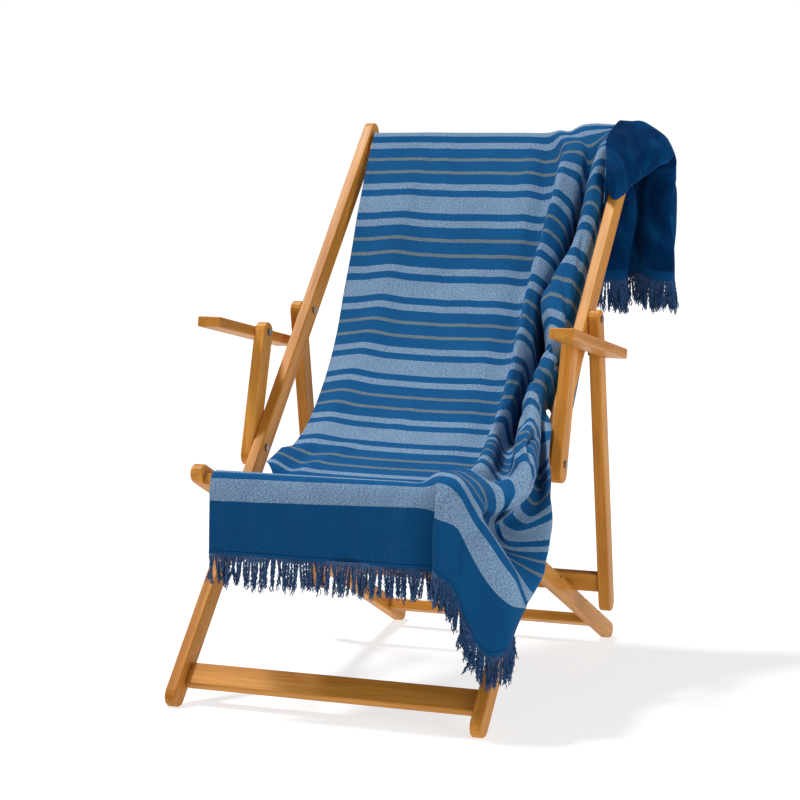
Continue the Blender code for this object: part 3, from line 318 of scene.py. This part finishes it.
# soft creases and ripples, each from one (s, t) to another; a negative height is a furrow
CREASES = (
    # s, t, s, t, width, height
    # left selvedge at the seat: slack below, then the turned-up lobe
    (0.168, 0.000, 0.325, 0.000, 0.085, -0.0450),
    (0.300, 0.008, 0.440, 0.000, 0.022, 0.0150),
    # seat
    (0.310, 0.040, 0.460, 0.055, 0.016, -0.0060),
    (0.330, 0.060, 0.480, 0.120, 0.012, 0.0030),
    (0.280, 0.050, 0.310, 0.300, 0.014, 0.0030),
    (0.420, 0.000, 0.460, 0.120, 0.012, 0.0030),
    (0.520, 0.000, 0.580, 0.100, 0.016, -0.0025),
    (0.460, 0.160, 0.640, 0.200, 0.012, 0.0018),
    # flat part of the back
    (0.560, 0.300, 1.200, 0.330, 0.014, 0.0018),
    (0.620, 0.220, 1.250, 0.200, 0.012, -0.0016),
    (0.700, 0.260, 1.280, 0.270, 0.008, 0.0014),
    (0.900, 0.060, 1.280, 0.050, 0.010, 0.0016),
    (1.020, 0.120, 1.285, 0.140, 0.008, -0.0014),
    (1.100, 0.170, 1.285, 0.160, 0.007, 0.0014),
    # first ridge and the valley beside it
    (0.950, 0.355, 1.280, 0.345, 0.012, 0.0040),
    (1.050, 0.385, 1.290, 0.372, 0.008, -0.0034),
    (0.780, 0.365, 1.000, 0.352, 0.010, -0.0020),
    (0.620, 0.345, 0.760, 0.360, 0.010, 0.0018),
    (1.000, 0.470, 1.180, 0.455, 0.008, 0.0022),
    (0.640, 0.445, 0.900, 0.430, 0.007, -0.0020),
    (0.540, 0.420, 0.640, 0.440, 0.006, 0.0024),
    # second ridge and the folds beside it
    (0.720, 0.560, 1.020, 0.560, 0.007, -0.0036),
    (0.590, 0.750, 0.840, 0.712, 0.007, -0.0075),
    (0.760, 0.680, 0.910, 0.688, 0.007, -0.0060),
    (0.800, 0.750, 0.930, 0.756, 0.007, -0.0060),
    (0.655, 0.640, 0.695, 0.760, 0.009, -0.0100),
    (0.700, 0.650, 0.830, 0.668, 0.014, 0.0050),
    (0.790, 0.620, 1.080, 0.620, 0.028, -0.0220),
    (0.480, 0.688, 0.720, 0.710, 0.014, -0.0075),
    (0.580, 0.625, 0.715, 0.625, 0.022, -0.0080),
    (0.280, 0.602, 0.475, 0.588, 0.007, -0.0080),
    (0.300, 0.560, 0.460, 0.555, 0.007, 0.0040),
    (0.395, 0.480, 0.440, 0.560, 0.008, -0.0060),
    (0.340, 0.470, 0.380, 0.560, 0.008, 0.0040),
    (0.500, 0.620, 0.640, 0.650, 0.008, -0.0050),
    (0.860, 0.620, 1.100, 0.640, 0.008, -0.0050),
    (0.640, 0.600, 0.820, 0.570, 0.008, 0.0028),
    (0.440, 0.520, 0.600, 0.560, 0.008, -0.0028),
    (0.300, 0.470, 0.440, 0.500, 0.009, 0.0024),
    # front panel and tongue
    (0.020, 0.100, 0.115, 0.090, 0.020, 0.0050),
    (-0.040, 0.255, 0.115, 0.245, 0.018, -0.0060),
    (-0.040, 0.345, 0.120, 0.358, 0.016, 0.0060),
    (-0.040, 0.180, 0.110, 0.172, 0.018, 0.0040),
    (-0.040, 0.040, 0.115, 0.030, 0.014, 0.0040),
    (0.000, 0.470, 0.150, 0.440, 0.012, 0.0022),
    (0.010, 0.560, 0.170, 0.520, 0.012, -0.0024),
    # turned-over flap
    (1.150, 0.730, 1.300, 0.790, 0.016, 0.0034),
    (1.190, 0.790, 1.310, 0.750, 0.012, -0.0030),
    (1.110, 0.750, 1.190, 0.840, 0.012, 0.0030),
    # behind the top bar
    (1.360, 0.700, 1.580, 0.720, 0.012, -0.0065),
    (1.360, 0.780, 1.580, 0.765, 0.010, 0.0060),
    (1.380, 0.840, 1.580, 0.860, 0.012, -0.0050),
    (1.360, 0.640, 1.580, 0.650, 0.012, 0.0040),
    (1.360, 0.090, 1.580, 0.110, 0.018, 0.0050),
    (1.360, 0.190, 1.580, 0.180, 0.018, -0.0050),
    (1.360, 0.290, 1.580, 0.300, 0.016, 0.0050),
    (1.320, 0.370, 1.560, 0.380, 0.012, -0.0030),
)
CREASE_FADE = 0.25       # share of a crease's length over which each of its ends fades
TUCK = 0.048             # how far the slack left selvedge is drawn in, below its turned-up lobe
TUCK_AT = (0.165, 0.235, 0.290, 0.340)            # s where it starts, is full, stays so and ends
TUCK_WIDE = 0.06         # how far it reaches from the selvedge

# how far the pattern is drawn up at the front bar, and the t of each value
PULL = (0.013, 0.018, 0.024, 0.012, 0.0085)
PULL_AT = (0.0, 0.20, 0.40, 0.47, 0.90)
PULL_END, PULL_EASE = 0.200, 0.085                # s where it ends, and over what length
HEM_KEPT, HEM_EASE = 0.012, 0.030                 # the hem stays, and the same from there


def spans(table):
    """Stations that cut each span into its number of cells."""
    stops = [np.linspace(a, b, cells, endpoint=False) for (a, cells), (b, _) in zip(table, table[1:])]
    return np.append(np.concatenate(stops), table[-1][0])


def cloth_grid(along, cells_across):
    """Middle of the cloth at every s in along, in columns that follow the fold lines, and its t."""
    rows, across = [], []
    for s in along:
        line, arc, folds = section_line(s)
        t = spans(list(zip(folds, (*cells_across, 0))))
        rows.append(read_at(line, arc, t))
        across.append(t)
    return np.array(rows), np.array(across)


def directions(grid):
    """Direction of the first axis at each point, halfway between those of its two cells."""
    step = np.diff(grid, axis=0)
    step /= np.maximum(np.linalg.norm(step, axis=2, keepdims=True), 1e-9)
    return np.concatenate([step[:1], step[:-1] + step[1:], step[-1:]])


def grid_normals(grid):
    """Unit normal at each point, on the striped side."""
    normal = np.cross(directions(grid.swapaxes(0, 1)).swapaxes(0, 1), directions(grid))
    return normal / np.maximum(np.linalg.norm(normal, axis=2, keepdims=True), 1e-9)


def ripples(s, t):
    """Height of the creases at s and t."""
    rise = np.zeros_like(t)
    for s0, t0, s1, t1, width, height in CREASES:
        length = math.hypot(s1 - s0, t1 - t0)
        ds, dt = (s1 - s0) / length, (t1 - t0) / length
        along = (s - s0) * ds + (t - t0) * dt
        aside = (t - t0) * ds - (s - s0) * dt
        fade = CREASE_FADE * length
        ends = np.clip(along / fade, 0, 1) * np.clip((length - along) / fade, 0, 1)
        rise += height * ends * np.exp(-(aside / width) ** 2)
    return rise


def new_piece(name, verts, faces, materials):
    """Smooth mesh object that rides on the body."""
    mesh = bpy.data.meshes.new(name)
    mesh.from_pydata([tuple(v) for v in verts], [], faces)
    mesh.validate()
    mesh.shade_smooth()
    for material in materials:
        mesh.materials.append(material)
    piece = bpy.data.objects.new(name, mesh)
    bpy.context.scene.collection.objects.link(piece)
    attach(piece, "root")
    return piece


def shaped_grid():
    """Middle of the cloth with its creases and its tuck, and s and t at each of its points."""
    along = spans(ALONG)
    grid, t = cloth_grid(along, ACROSS)
    s = np.repeat(along[:, None], t.shape[1], axis=1)
    grid = grid + grid_normals(grid) * ripples(s, t)[:, :, None] + np.array(SHIFT)
    tucked = np.interp(s, TUCK_AT, (0, 1, 1, 0)) * np.exp(-(t / TUCK_WIDE) ** 2)
    grid[:, :, 0] += TUCK * tucked
    return grid, s, t


def sheet_quads(rows, columns):
    """Quads of the front, of the back and of the rim of a sheet of rows by columns points."""
    index = np.arange(rows * columns).reshape(rows, columns)
    a, b, c, d = (part.ravel() for part in (index[:-1, :-1], index[:-1, 1:], index[1:, 1:], index[1:, :-1]))
    rim = np.concatenate([index[0, :-1], index[:-1, -1], index[-1, :0:-1], index[:0:-1, 0]])
    after = np.roll(rim, -1)
    front = np.stack([a, b, c, d], 1)
    back = np.stack([a, d, c, b], 1) + index.size
    return front, back, np.stack([after, rim, rim + index.size, after + index.size], 1)


def pattern_place(s, t):
    """Place of each point in the woven pattern, as (t, s), for both sides of the sheet."""
    pull = np.interp(t, PULL_AT, PULL) * np.clip((PULL_END - s) / PULL_EASE, 0, 1)
    pulled = s - pull * np.clip((s - HEM_KEPT) / HEM_EASE, 0, 1)
    place = np.stack([t.ravel(), pulled.ravel()], 1)
    return np.concatenate([place, place])


def make_towel(striped, velour):
    """The towel as one thin closed sheet, with the striped side up."""
    grid, s, t = shaped_grid()
    half = grid_normals(grid) * CLOTH / 2
    verts = np.concatenate([(grid + half).reshape(-1, 3), (grid - half).reshape(-1, 3)])
    front, back, rim = sheet_quads(*t.shape)
    towel = new_piece("towel_cloth", verts, np.concatenate([front, back, rim]).tolist(), [striped, velour])
    corners = np.empty(len(towel.data.loops), dtype=np.int32)
    towel.data.loops.foreach_get("vertex_index", corners)
    layer = towel.data.uv_layers.new(name="cloth")
    layer.data.foreach_set("uv", pattern_place(s, t)[corners].ravel())
    sides = np.zeros(len(towel.data.polygons), dtype=np.int32)
    sides[len(front):len(front) + len(back)] = 1
    towel.data.polygons.foreach_set("material_index", sides)
    return towel


# ---------------------------------------------------------------- fringe
BUNDLE = 0.0052          # bundle to bundle
YARNS = 9                # yarns in a bundle
YARN_R = 0.00090
YARN_STEPS = 12
CRIMP, CRIMP_LENGTH = 0.0014, 0.0085     # how far a yarn waves, and over what length
CRIMP_ASIDE = 0.6        # the same across the hem, as a share
ROUND = 6.3              # about one turn
TURNS = (0.5, 1.3)       # least and most turns of a bundle's twist
BUNDLE_LENGTHS = (0.86, 1.06)            # least and most length of a bundle, over the fringe's
YARN_LENGTHS = (0.80, 1.05)              # the same of a yarn, over its bundle's
CRIMPS = (0.5, 1.3)      # the same of a yarn's crimp, over CRIMP
LEAN = 0.10              # how far a bundle hangs out of true
WILD, WILD_SHARE = 0.25, 0.18            # the same for the odd bundle, and how many are odd
STRAY = 0.05             # how far a yarn leaves its bundle's way
SPREAD = 1.05            # width of a bundle at the hem, over BUNDLE
TWIST_R, TWIST_HEM = 0.0011, 0.7         # radius that yarns wind on, and its share at the hem
HEM_INSET = 0.02         # the hem's direction is read from here to the hem
SWEEP_BACK = 0.03        # how far the rear fringe leans to the right, over its fall
ROOT = 0.002             # how far a yarn starts inside the hem
FORWARD = -0.02          # how far a hanging yarn leans forward, over its fall
FALL, GATHER = 2.6, 2.5  # a yarn hangs, and its bundle has gathered, at one over this of its length
LEAN_IN, WAVE_IN = 1.5, 4                # the same for its lean and its waves
TIP = 0.6                # radius of a yarn at its end, over YARN_R
ASIDE = (0.3, 0.9, 0.1)  # a direction that no yarn runs in
NEAR, WIDE = 0.5, 0.87   # place of a triangle's other corners, its first at one


def make_yarns(name, hem, inside, material, seed, length, sweep):
    """Crimped yarns along the hem at s = hem, in loosely twisted bundles that hang and spread.

    The row at s = inside tells which way is out of the cloth.
    """
    rng = np.random.default_rng(seed)
    rows, _ = cloth_grid([hem, inside], ACROSS)
    line, within = rows + np.array(SHIFT)
    arc = np.concatenate([[0], np.cumsum(np.linalg.norm(np.diff(line, axis=0), axis=1))])
    bundles = int(arc[-1] / BUNDLE)
    out = line - within
    out /= np.linalg.norm(out, axis=1, keepdims=True)
    down = np.array([sweep, FORWARD, -1.0])
    verts, faces = [], []
    for i in range(bundles):
        at = (i + 0.5) * arc[-1] / bundles
        middle, way = read_at(line, arc, at), read_at(out, arc, at)
        lean = rng.normal(0, LEAN, 3) + (rng.random() < WILD_SHARE) * rng.normal(0, WILD, 3)
        reach = length * rng.uniform(*BUNDLE_LENGTHS)
        twist, turn = rng.uniform(0, ROUND), rng.uniform(*TURNS)
        for k in range(YARNS):
            start = read_at(line, arc, at + (k / (YARNS - 1) - 0.5) * BUNDLE * SPREAD)
            stray = rng.normal(0, STRAY, 3)
            crimp = rng.uniform(*CRIMPS) * CRIMP
            phase = rng.uniform(0, ROUND)
            own = reach * rng.uniform(*YARN_LENGTHS)
            centre = middle - way * ROOT
            path = []
            for j in range(YARN_STEPS + 1):
                f = j / YARN_STEPS
                fall = min(1.0, f * FALL)
                step = way * (1 - fall) + down * fall + lean * min(1, f * LEAN_IN) + stray * f
                if j:
                    centre = centre + step / np.linalg.norm(step) * own / YARN_STEPS
                close = (start - middle) * max(0.0, 1 - f * GATHER)
                angle = twist + turn * ROUND * f + k * ROUND / YARNS
                turned = np.array([math.cos(angle), math.sin(angle), 0])
                around = turned * TWIST_R * min(1, f * GATHER) * (TWIST_HEM + f)
                wave = math.sin(phase + f * own / CRIMP_LENGTH * ROUND) * crimp * min(1, f * WAVE_IN)
                path.append(centre + close + around + np.array([wave, CRIMP_ASIDE * wave, 0]))
            tube(verts, faces, path, YARN_R)
    return new_piece(name, verts, faces, [material])


def tube(verts, faces, path, radius):
    """Adds a three-sided tube along path, closed at both ends."""
    first = len(verts)
    last = len(path) - 1
    for j, place in enumerate(path):
        way = path[min(j + 1, last)] - path[max(j - 1, 0)]
        side = np.cross(way, ASIDE)
        side /= np.linalg.norm(side)
        other = np.cross(way, side)
        other /= np.linalg.norm(other)
        thin = radius * (TIP if j == last else 1.0)
        verts += [place + side * thin, place - side * thin * NEAR + other * thin * WIDE,
                  place - side * thin * NEAR - other * thin * WIDE]
    for j in range(last):
        ring = first + 3 * j
        for k in range(3):
            faces.append((ring + k, ring + (k + 1) % 3, ring + 3 + (k + 1) % 3, ring + 3 + k))
    faces.append((first + 2, first + 1, first))
    end = first + 3 * last
    faces.append((end, end + 1, end + 2))


# ---------------------------------------------------------------- materials
class Nodes:
    """A material of its own, with short names for adding and joining its nodes."""

    def __init__(self, name):
        self.material = bpy.data.materials.new(name)
        self.material.use_nodes = True
        self.nodes = self.material.node_tree.nodes
        self.shader = self.nodes["Principled BSDF"]

    def put(self, socket, value):
        """Joins another socket to this one, or sets it to a number or a colour."""
        if isinstance(value, bpy.types.NodeSocket):
            self.material.node_tree.links.new(value, socket)
        elif socket.type == "RGBA":
            socket.default_value = (*value, 1)
        else:
            socket.default_value = value

    def surface(self, **values):
        """Sets the shader's own sockets."""
        for name, value in values.items():
            self.put(self.shader.inputs[name.replace("_", " ")], value)

    def object_place(self):
        return self.nodes.new("ShaderNodeTexCoord").outputs["Object"]

    def cloth_place(self):
        """Place in the woven pattern as (t, s), and s alone."""
        place = self.nodes.new("ShaderNodeUVMap")
        place.uv_map = "cloth"
        split = self.nodes.new("ShaderNodeSeparateXYZ")
        self.put(split.inputs[0], place.outputs[0])
        return place.outputs[0], split.outputs[1]

    def math(self, operation, a, b=0.0):
        node = self.nodes.new("ShaderNodeMath")
        node.operation = operation
        self.put(node.inputs[0], a)
        self.put(node.inputs[1], b)
        return node.outputs[0]

    def ramp(self, factor, stops, mode="LINEAR"):
        node = self.nodes.new("ShaderNodeValToRGB")
        node.color_ramp.interpolation = mode
        elements = node.color_ramp.elements
        for i, (place, colour) in enumerate(stops):
            element = elements[i] if i < 2 else elements.new(place)
            element.position = place
            element.color = (*colour, 1)
        self.put(node.inputs[0], factor)
        return node.outputs[0]

    def mix(self, factor, a, b, blend="MIX"):
        node = self.nodes.new("ShaderNodeMix")
        node.data_type = "RGBA"
        node.blend_type = blend
        # the node has a pair of inputs and an output for each kind of data, and these are the colours'
        self.put(node.inputs[0], factor)
        self.put(node.inputs[6], a)
        self.put(node.inputs[7], b)
        return node.outputs[2]

    def times(self, a, b, share=1.0):
        return self.mix(share, a, b, "MULTIPLY")

    def noise(self, vector, scale, detail, rough=0.55):
        node = self.nodes.new("ShaderNodeTexNoise")
        node.inputs["Scale"].default_value = scale
        node.inputs["Detail"].default_value = detail
        node.inputs["Roughness"].default_value = rough
        self.put(node.inputs["Vector"], vector)
        return node.outputs["Fac"]

    def grain(self, vector, scale, detail, rough=0.55):
        """Noise that is stretched by scale, as grains per metre along each axis."""
        return self.noise(self.placed(vector, scale), 1.0, detail, rough)

    def placed(self, vector, scale, turn=0.0):
        node = self.nodes.new("ShaderNodeMapping")
        node.inputs["Rotation"].default_value = (turn, 0, 0)
        node.inputs["Scale"].default_value = scale
        self.put(node.inputs["Vector"], vector)
        return node.outputs[0]

    def near_ends(self, s, width):
        """One within width of either end of the towel, and zero between them."""
        return self.math("MAXIMUM", self.math("LESS_THAN", s, width),
                         self.math("GREATER_THAN", s, TOWEL_LENGTH - width))

    def bump(self, height, strength, distance):
        node = self.nodes.new("ShaderNodeBump")
        node.inputs["Strength"].default_value = strength
        node.inputs["Distance"].default_value = distance
        self.put(node.inputs["Height"], height)
        self.put(self.shader.inputs["Normal"], node.outputs[0])


REPEAT = 0.200           # wide stripe to wide stripe
FIRST_STRIPE = 0.097     # front hem to the middle of the first wide stripe
AHEAD = 10.5             # half a repeat, and whole ones enough to keep the count above zero
END_BAND = 0.077         # plain cloth at each end
HEM_STITCH = 0.0060      # front hem to its row of stitches
STITCH_HALF = 0.0007     # half the width of that row
FLAT_HEM = 0.018         # flat weave between the pile and the fringe
WEAVE_DRIFT = 0.004      # how far a stripe strays

STRIPE_BLUE = (0.006, 0.082, 0.225)
STRIPE_LIGHT = (0.165, 0.262, 0.395)
STRIPE_GREY = (0.125, 0.172, 0.205)
BAND_BLUE = (0.004, 0.064, 0.178)
STITCH_BLUE = (0.002, 0.024, 0.075)
FLAT_HEM_BLUE = (0.003, 0.046, 0.145)
NO_MELANGE = (0.0, 0.0, 0.0)
STRIPES = (
    # where it starts, in half repeats from the middle of a wide stripe, its colour, its melange
    (0.000, STRIPE_LIGHT, 1.0),
    (0.200, STRIPE_BLUE, 0.0),
    (0.371, STRIPE_LIGHT, 1.0),
    (0.531, STRIPE_BLUE, 0.0),
    (0.786, STRIPE_GREY, 0.7),
    (0.866, STRIPE_BLUE, 0.0),
)
# noises on the cloth, as grains per metre across it and along it
DRIFT, BRUSHED = (9, 3, 1), (17, 11, 1)
WEFT, WARP, HEATHER = (300, 900, 1), (900, 240, 1), (240, 620, 1)
# ramps, as the value of a noise and the colour there
FLECKS = ((0.38, (0.62, 0.70, 0.76)), (0.62, (1.34, 1.28, 1.22)))
MELANGE = ((0.40, (0.44, 0.56, 0.65)), (0.50, (1.00, 1.00, 1.00)), (0.60, (1.55, 1.40, 1.28)))
WORN = ((0.30, (0.90, 0.91, 0.93)), (0.70, (1.08, 1.07, 1.06)))
PILE = ((0.34, (0.0004, 0.013, 0.056)), (0.50, (0.0007, 0.025, 0.092)), (0.68, (0.0022, 0.056, 0.170)))
PILE_SPECK = ((0.30, (0.75, 0.78, 0.80)), (0.70, (1.25, 1.22, 1.20)))
PILE_SHEEN = (0.10, 0.32, 0.75)
YARN = ((0.35, (0.0005, 0.026, 0.110)), (0.68, (0.004, 0.076, 0.215)))
WOOD = ((0.30, (0.42, 0.158, 0.022)), (0.48, (0.55, 0.232, 0.038)),
        (0.60, (0.62, 0.282, 0.052)), (0.75, (0.47, 0.188, 0.028)))
WOOD_STREAK = ((0.30, (0.80, 0.76, 0.70)), (0.60, (1.06, 1.05, 1.04)))
WOOD_PATCH = ((0.35, (0.92, 0.90, 0.86)), (0.65, (1.07, 1.08, 1.10)))
WOOD_GLOSS = ((0.30, (0.50, 0.50, 0.50)), (0.70, (0.36, 0.36, 0.36)))
GRAIN, FIBRE = (1.6, 34.0), (14.0, 420.0)          # per metre along the grain and across it
STEEL = ((0.30, (0.16, 0.15, 0.14)), (0.70, (0.34, 0.33, 0.31)))
STEEL_GLOSS = ((0.30, (0.50, 0.50, 0.50)), (0.70, (0.30, 0.30, 0.30)))


def striped_cloth():
    """Flat woven face: wide, narrow and grey stripes, melange yarns, thread texture."""
    n = Nodes("striped_cloth")
    place, s = n.cloth_place()
    drift = n.math("SUBTRACT", n.grain(place, DRIFT, 2.0), 0.5)
    strayed = n.math("ADD", s, n.math("MULTIPLY", drift, WEAVE_DRIFT))
    turn = n.math("DIVIDE", n.math("SUBTRACT", strayed, FIRST_STRIPE), REPEAT)
    away = n.math("ABSOLUTE", n.math("SUBTRACT", n.math("FRACT", n.math("ADD", turn, AHEAD)), 0.5))
    away = n.math("MULTIPLY", away, 2.0)
    ends = n.near_ends(s, END_BAND)
    stripes = n.ramp(away, [(start, colour) for start, colour, _ in STRIPES], "CONSTANT")
    colour = n.mix(ends, stripes, BAND_BLUE)
    weft = n.grain(place, WEFT, 2.0, 0.7)
    warp = n.grain(place, WARP, 2.0, 0.7)
    thread = n.math("MULTIPLY", n.math("ADD", weft, warp), 0.5)
    colour = n.times(colour, n.ramp(thread, FLECKS), 0.9)
    pale = n.ramp(away, [(start, (melange,) * 3) for start, _, melange in STRIPES], "CONSTANT")
    pale = n.mix(ends, pale, NO_MELANGE)
    heather = n.ramp(n.grain(place, HEATHER, 3.0, 0.75), MELANGE)
    colour = n.mix(pale, colour, n.times(colour, heather))
    stitch = n.math("ABSOLUTE", n.math("SUBTRACT", s, HEM_STITCH))
    colour = n.mix(n.math("LESS_THAN", stitch, STITCH_HALF), colour, STITCH_BLUE)
    colour = n.times(colour, n.ramp(n.noise(place, 14.0, 5.0), WORN))
    n.surface(Base_Color=colour, Roughness=0.92, Sheen_Weight=0.03, Sheen_Roughness=0.5,
              Specular_IOR_Level=0.05)
    n.bump(thread, 0.45, 0.0012)
    return n.material


def velour_cloth():
    """Cut pile back: deep navy with a brushed bloom, and a flat woven hem at each end."""
    n = Nodes("velour_cloth")
    place, s = n.cloth_place()
    brushed = n.grain(place, BRUSHED, 6.0, 0.62)
    fine = n.noise(place, 900.0, 2.0, 0.8)
    colour = n.mix(n.near_ends(s, FLAT_HEM), n.ramp(brushed, PILE), FLAT_HEM_BLUE)
    colour = n.times(colour, n.ramp(fine, PILE_SPECK))
    n.surface(Base_Color=colour, Roughness=0.95, Sheen_Weight=0.30, Sheen_Roughness=0.35,
              Sheen_Tint=PILE_SHEEN, Specular_IOR_Level=0.03)
    n.bump(n.math("ADD", n.math("MULTIPLY", brushed, 2.0), fine), 0.5, 0.0016)
    return n.material


def yarn_material():
    n = Nodes("fringe_yarns")
    place = n.object_place()
    n.surface(Base_Color=n.ramp(n.noise(place, 160.0, 2.0), YARN), Roughness=0.9, Sheen_Weight=0.2)
    n.bump(n.noise(place, 1800.0, 2.0), 0.4, 0.0008)
    return n.material


def wood_material(name, turn, along_x=False):
    """Oiled hardwood with the grain along the piece, which slopes by turn or lies along x."""
    n = Nodes(name)
    place = n.object_place()
    turned = n.placed(place, (1, 1, 1), -turn)
    axes = (0, 1, 1) if along_x else (1, 0, 1)       # 0 along the grain, 1 across it
    grain = n.grain(turned, [GRAIN[i] for i in axes], 6.0, 0.6)
    fibre = n.grain(turned, [FIBRE[i] for i in axes], 3.0, 0.7)
    colour = n.times(n.ramp(grain, WOOD), n.ramp(fibre, WOOD_STREAK))
    colour = n.times(colour, n.ramp(n.noise(place, 5.0, 2.0), WOOD_PATCH))
    n.surface(Base_Color=colour, Roughness=n.ramp(grain, WOOD_GLOSS), Specular_IOR_Level=0.14)
    n.bump(fibre, 0.15, 0.0006)
    return n.material


def steel_material():
    n = Nodes("bolt_steel")
    brushed = n.noise(n.object_place(), 700.0, 3.0)
    n.surface(Base_Color=n.ramp(brushed, STEEL), Roughness=n.ramp(brushed, STEEL_GLOSS), Metallic=1.0)
    return n.material


def dress_chair():
    """Gives every solid of the chair its material."""
    steel = steel_material()
    finishes = {
        "bolt": steel,
        "spacer": steel,
        "long_rail": wood_material("wood_long", LONG_LEAN),
        "seat_rail": wood_material("wood_seat", SEAT_LEAN),
        "prop_leg": wood_material("wood_prop", PROP_LEAN),
        "arm_support": wood_material("wood_support", SUPPORT_LEAN),
        "armrest": wood_material("wood_arm", ARM_LEAN),
        "bar": wood_material("wood_bar", 0.0, along_x=True),
    }
    for name, solid in frame["nodes"].items():
        kind = next((key for key in finishes if key in name), None)
        if kind:
            for slot in solid.material_slots:
                slot.material = finishes[kind]


# ---------------------------------------------------------------- floor, light and camera
FLOOR_HALF, FLOOR_DROP = 200.0, 0.0005
AMBIENT, BACKDROP = 0.20, 1.02           # strength of the plain sky for the object and for the camera
SUN_POWER, SUN_SPREAD, SUN_FROM = 3.45, math.radians(11), (-0.42, -0.04, 1.0)
SIDE_POWER, SIDE_SIZE, SIDE_COLOUR = 24, 1.2, (1.0, 0.99, 0.97)
SIDE_PLACE, SIDE_TARGET = (2.3, -1.3, 1.1), (0, 0, 0.6)
WHITE = (1.0, 1.0, 1.0, 1.0)


def make_floor():
    """Pale floor that glows a little, so that it stays white around the shadows."""
    mesh = bpy.data.meshes.new("studio_floor")
    corners = [(x * FLOOR_HALF, y * FLOOR_HALF, 0) for x, y in ((-1, -1), (1, -1), (1, 1), (-1, 1))]
    mesh.from_pydata(corners, [], [(0, 1, 2, 3)])
    n = Nodes("studio_floor")
    n.surface(Base_Color=(0.36, 0.36, 0.36), Emission_Color=(1.0, 1.0, 1.0), Emission_Strength=0.72,
              Roughness=0.6, Specular_IOR_Level=0.1)
    mesh.materials.append(n.material)
    floor = bpy.data.objects.new("studio_floor", mesh)
    floor.location.z = -FLOOR_DROP
    bpy.context.scene.collection.objects.link(floor)


def make_world():
    """Plain white for the camera, and a softer ambient light for the object."""
    world = bpy.data.worlds.new("studio")
    world.use_nodes = True
    nodes, links = world.node_tree.nodes, world.node_tree.links
    ambient = nodes["Background"]
    ambient.inputs["Color"].default_value = WHITE
    ambient.inputs["Strength"].default_value = AMBIENT
    seen = nodes.new("ShaderNodeBackground")
    seen.inputs["Color"].default_value = WHITE
    seen.inputs["Strength"].default_value = BACKDROP
    mixed = nodes.new("ShaderNodeMixShader")
    links.new(nodes.new("ShaderNodeLightPath").outputs["Is Camera Ray"], mixed.inputs[0])
    links.new(ambient.outputs[0], mixed.inputs[1])
    links.new(seen.outputs[0], mixed.inputs[2])
    links.new(mixed.outputs[0], nodes["World Output"].inputs["Surface"])
    bpy.context.scene.world = world


def hang(lamp, turn, place=(0, 0, 0)):
    """Puts a lamp in the scene."""
    light = bpy.data.objects.new(lamp.name, lamp)
    light.location = place
    light.rotation_euler = turn.to_euler()
    bpy.context.scene.collection.objects.link(light)


def make_lights():
    view = bpy.context.scene.view_settings
    view.view_transform = "Standard"
    view.look = "None"
    sun = bpy.data.lights.new("overhead", "SUN")
    sun.energy = SUN_POWER
    sun.angle = SUN_SPREAD
    hang(sun, Vector(SUN_FROM).to_track_quat("Z", "Y"))
    side = bpy.data.lights.new("side", "AREA")
    side.shape = "SQUARE"
    side.size = SIDE_SIZE
    side.energy = SIDE_POWER
    side.color = SIDE_COLOUR
    hang(side, (Vector(SIDE_TARGET) - Vector(SIDE_PLACE)).to_track_quat("-Z", "Y"), SIDE_PLACE)


# solved from the photo, in the chair's own frame
CAMERA_PLACE = (1.4360, -3.4051, 0.8473)
CAMERA_YAW, CAMERA_PITCH, CAMERA_ROLL = (math.radians(a) for a in (-20.96, -4.64, 0.87))
FOCAL, PICTURE = 2214.88, 800            # focal length and width of the picture, in pixels
SENSOR = 36.0            # in mm


def make_camera():
    """The photo's view of the chair."""
    forward = Vector((math.sin(CAMERA_YAW) * math.cos(CAMERA_PITCH),
                      math.cos(CAMERA_YAW) * math.cos(CAMERA_PITCH), math.sin(CAMERA_PITCH)))
    level = Vector((math.cos(CAMERA_YAW), -math.sin(CAMERA_YAW), 0))
    above = level.cross(forward)
    right = level * math.cos(CAMERA_ROLL) + above * math.sin(CAMERA_ROLL)
    up = above * math.cos(CAMERA_ROLL) - level * math.sin(CAMERA_ROLL)
    data = bpy.data.cameras.new("camera")
    data.sensor_width = SENSOR
    data.lens = FOCAL * SENSOR / PICTURE
    camera = bpy.data.objects.new("camera", data)
    turn = Matrix((right, up, -forward)).transposed()
    camera.matrix_world = Matrix.Translation(Vector(CAMERA_PLACE) + SHIFT) @ turn.to_4x4()
    bpy.context.scene.collection.objects.link(camera)
    bpy.context.scene.camera = camera


def main():
    make_camera()
    make_world()
    make_lights()
    make_floor()
    dress_chair()
    towel = make_towel(striped_cloth(), velour_cloth())
    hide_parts("towel")
    yarn = yarn_material()
    front = make_yarns("fringe_front_yarns", 0.0, HEM_INSET, yarn, seed=3, length=FRINGE_FRONT, sweep=0.0)
    back = make_yarns("fringe_back_yarns", TOWEL_LENGTH, TOWEL_LENGTH - HEM_INSET, yarn, seed=5,
                      length=FRINGE_BACK, sweep=SWEEP_BACK)
    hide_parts("fringe_front")
    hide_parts("fringe_back")


main()
